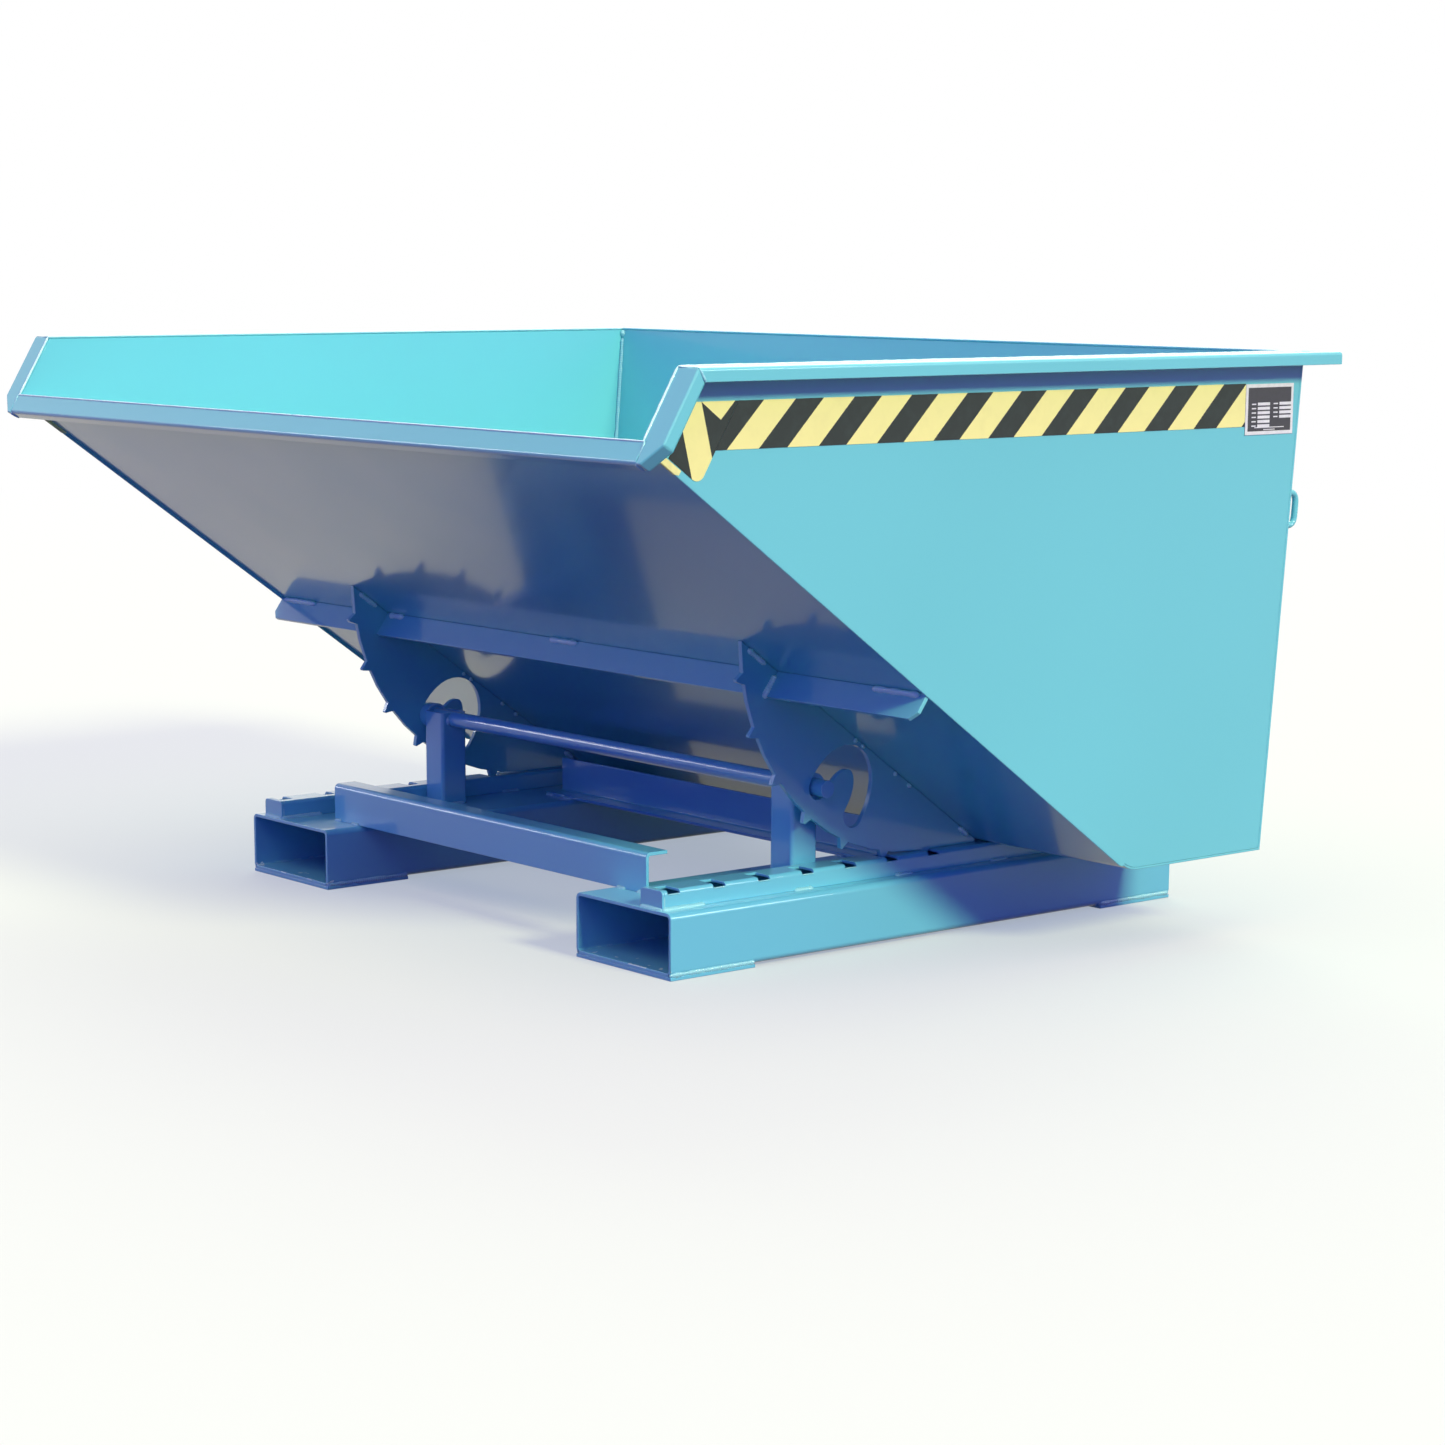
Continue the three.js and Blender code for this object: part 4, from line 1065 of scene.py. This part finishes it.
def add_floor():
    """A pale floor that keeps the shadow, fades to white far off, and throws little light up from below."""
    mesh = bpy.data.meshes.new("floor")
    half = FLOOR_SIZE / 2
    outline = [(-half, -half), (half, -half), (half, half), (-half, half)]
    corners = [(x, y, -FLOOR_SINK) for x, y in outline]
    mesh.from_pydata(corners, [], [(0, 1, 2, 3)])
    material, tree, shader, place = new_material("floor")
    seen = seen_rays(tree)
    away = tree.add("ShaderNodeVectorMath", {0: place}, operation="LENGTH").outputs["Value"]
    far = tree.spread(away, WHITE_FROM, WHITE_AT)
    surface = tree.add("ShaderNodeBsdfDiffuse", {"Color": tree.mix(seen, FLOOR_BOUNCE, FLOOR_SEEN)})
    camera = tree.add("ShaderNodeLightPath").outputs["Is Camera Ray"]
    near_glow = tree.mix(far, tree.mix(camera, FLOOR_MIRRORED, FLOOR_LIFT), WHITE)
    glow = tree.add("ShaderNodeEmission", {"Color": near_glow, "Strength": seen})
    faded = tree.add("ShaderNodeMixShader", {0: far, 1: surface.outputs[0]})
    both = tree.add("ShaderNodeAddShader", {0: faded.outputs[0], 1: glow.outputs[0]})
    out = material.node_tree.nodes["Material Output"]
    tree.link(both.outputs[0], out.inputs["Surface"])
    material.node_tree.nodes.remove(shader)
    mesh.materials.append(material)
    floor = bpy.data.objects.new("floor", mesh)
    bpy.context.scene.collection.objects.link(floor)


SKY_FILL = (0.216, 0.117, 0.9, 1.0)
SKY_BEHIND = (1.05, 0.98, 0.92, 1.0)
BEHIND = (-0.7, 0.7, 0.15)
BEHIND_FULL = 0.7


def add_sky():
    """White where it is seen or mirrored. Else a soft fill, cool in front and neutral behind."""
    world = bpy.data.worlds.new("studio")
    bpy.context.scene.world = world
    world.use_nodes = True
    tree = Tree(world.node_tree)
    fill = world.node_tree.nodes["Background"]
    direction = tree.add("ShaderNodeTexCoord").outputs["Generated"]
    turned = tree.add("ShaderNodeVectorMath", {0: direction, 1: BEHIND}, operation="DOT_PRODUCT")
    colour = tree.mix(tree.spread(turned.outputs["Value"], 0.0, BEHIND_FULL), SKY_FILL, SKY_BEHIND)
    tree.link(colour, fill.inputs["Color"])
    white = tree.add("ShaderNodeBackground", {"Color": WHITE, "Strength": 1.0})
    mixed = tree.add("ShaderNodeMixShader", {0: seen_rays(tree), 1: fill.outputs[0], 2: white.outputs[0]})
    tree.link(mixed.outputs[0], world.node_tree.nodes["World Output"].inputs["Surface"])


# The main light comes from the right, so that the skip shades the frame as in the photograph. A wide soft
# one above lights what faces up, and one behind lights the back.
KEY = {"azimuth": 92, "elevation": 31, "strength": 3.0, "angle": 12, "color": (1.0, 1.0, 0.61)}
OVERHEAD = {"azimuth": 15, "elevation": 66, "strength": 1.4, "angle": 60, "color": (1.0, 0.85, 0.20)}
BACK = {"azimuth": 225, "elevation": 35, "strength": 1.1, "angle": 40, "color": (0.85, 1.0, 0.8)}
# Two lamps that only glossy surfaces show: they draw the bright lines along bends.
BEND_SHINES = {
    "shine_rear": {"azimuth": 127, "elevation": 20, "strength": 1.0, "angle": 16, "color": WHITE[:3]},
    "shine_front": {"azimuth": -58, "elevation": 17, "strength": 0.24, "angle": 10, "color": WHITE[:3]},
}


def add_lamp(name, azimuth, elevation, strength, angle, color):
    """A distant lamp. Its azimuth is 0 in front and 90 at the right, and its angle is how wide it looks."""
    lamp = bpy.data.lights.new(name, "SUN")
    lamp.energy = strength
    lamp.angle = math.radians(angle)
    lamp.color = color
    turn = math.radians(azimuth)
    rise = math.radians(elevation)
    towards = Vector((math.sin(turn) * math.cos(rise), -math.cos(turn) * math.cos(rise), math.sin(rise)))
    holder = bpy.data.objects.new(name, lamp)
    holder.rotation_mode = "QUATERNION"
    holder.rotation_quaternion = towards.to_track_quat("Z", "Y")
    bpy.context.scene.collection.objects.link(holder)
    return holder


# The camera that a fit to the photograph gives. Lengths in the picture are in its pixels.
SENSOR_WIDTH = 36.0
PICTURE_SIDE = 1445
FOCAL_PIXELS = 3380
VIEW_CENTRE = (723.3, 919.9)
CAMERA_PLACE = Vector((4.0259, -3.1584, 0.9782))
CAMERA_AZIMUTH = 0.87992
CAMERA_ELEVATION = -0.196705
CAMERA_ROLL = 0.004134


def add_camera():
    data = bpy.data.cameras.new("camera")
    data.sensor_width = SENSOR_WIDTH
    data.lens = data.sensor_width * FOCAL_PIXELS / PICTURE_SIDE
    data.shift_x = (PICTURE_SIDE / 2 - VIEW_CENTRE[0]) / PICTURE_SIDE
    data.shift_y = (VIEW_CENTRE[1] - PICTURE_SIDE / 2) / PICTURE_SIDE
    forward = Vector(
        (
            -math.sin(CAMERA_AZIMUTH) * math.cos(CAMERA_ELEVATION),
            math.cos(CAMERA_AZIMUTH) * math.cos(CAMERA_ELEVATION),
            math.sin(CAMERA_ELEVATION),
        )
    )
    right = forward.cross(Vector((0, 0, 1))).normalized()
    up = right.cross(forward)
    rolled_right = right * math.cos(CAMERA_ROLL) + up * math.sin(CAMERA_ROLL)
    rolled_up = up * math.cos(CAMERA_ROLL) - right * math.sin(CAMERA_ROLL)
    camera = bpy.data.objects.new("camera", data)
    camera.matrix_world = Matrix.Translation(CAMERA_PLACE) @ Matrix(
        (rolled_right, rolled_up, -forward)
    ).transposed().to_4x4()
    bpy.context.scene.collection.objects.link(camera)
    bpy.context.scene.camera = camera


add_floor()
add_sky()
add_lamp("key", **KEY)
add_lamp("overhead", **OVERHEAD)
add_lamp("back", **BACK)
for name, shine in BEND_SHINES.items():
    add_lamp(name, **shine).visible_diffuse = False
add_camera()
bpy.context.scene.view_settings.view_transform = "Standard"

bpy.context.view_layer.update()
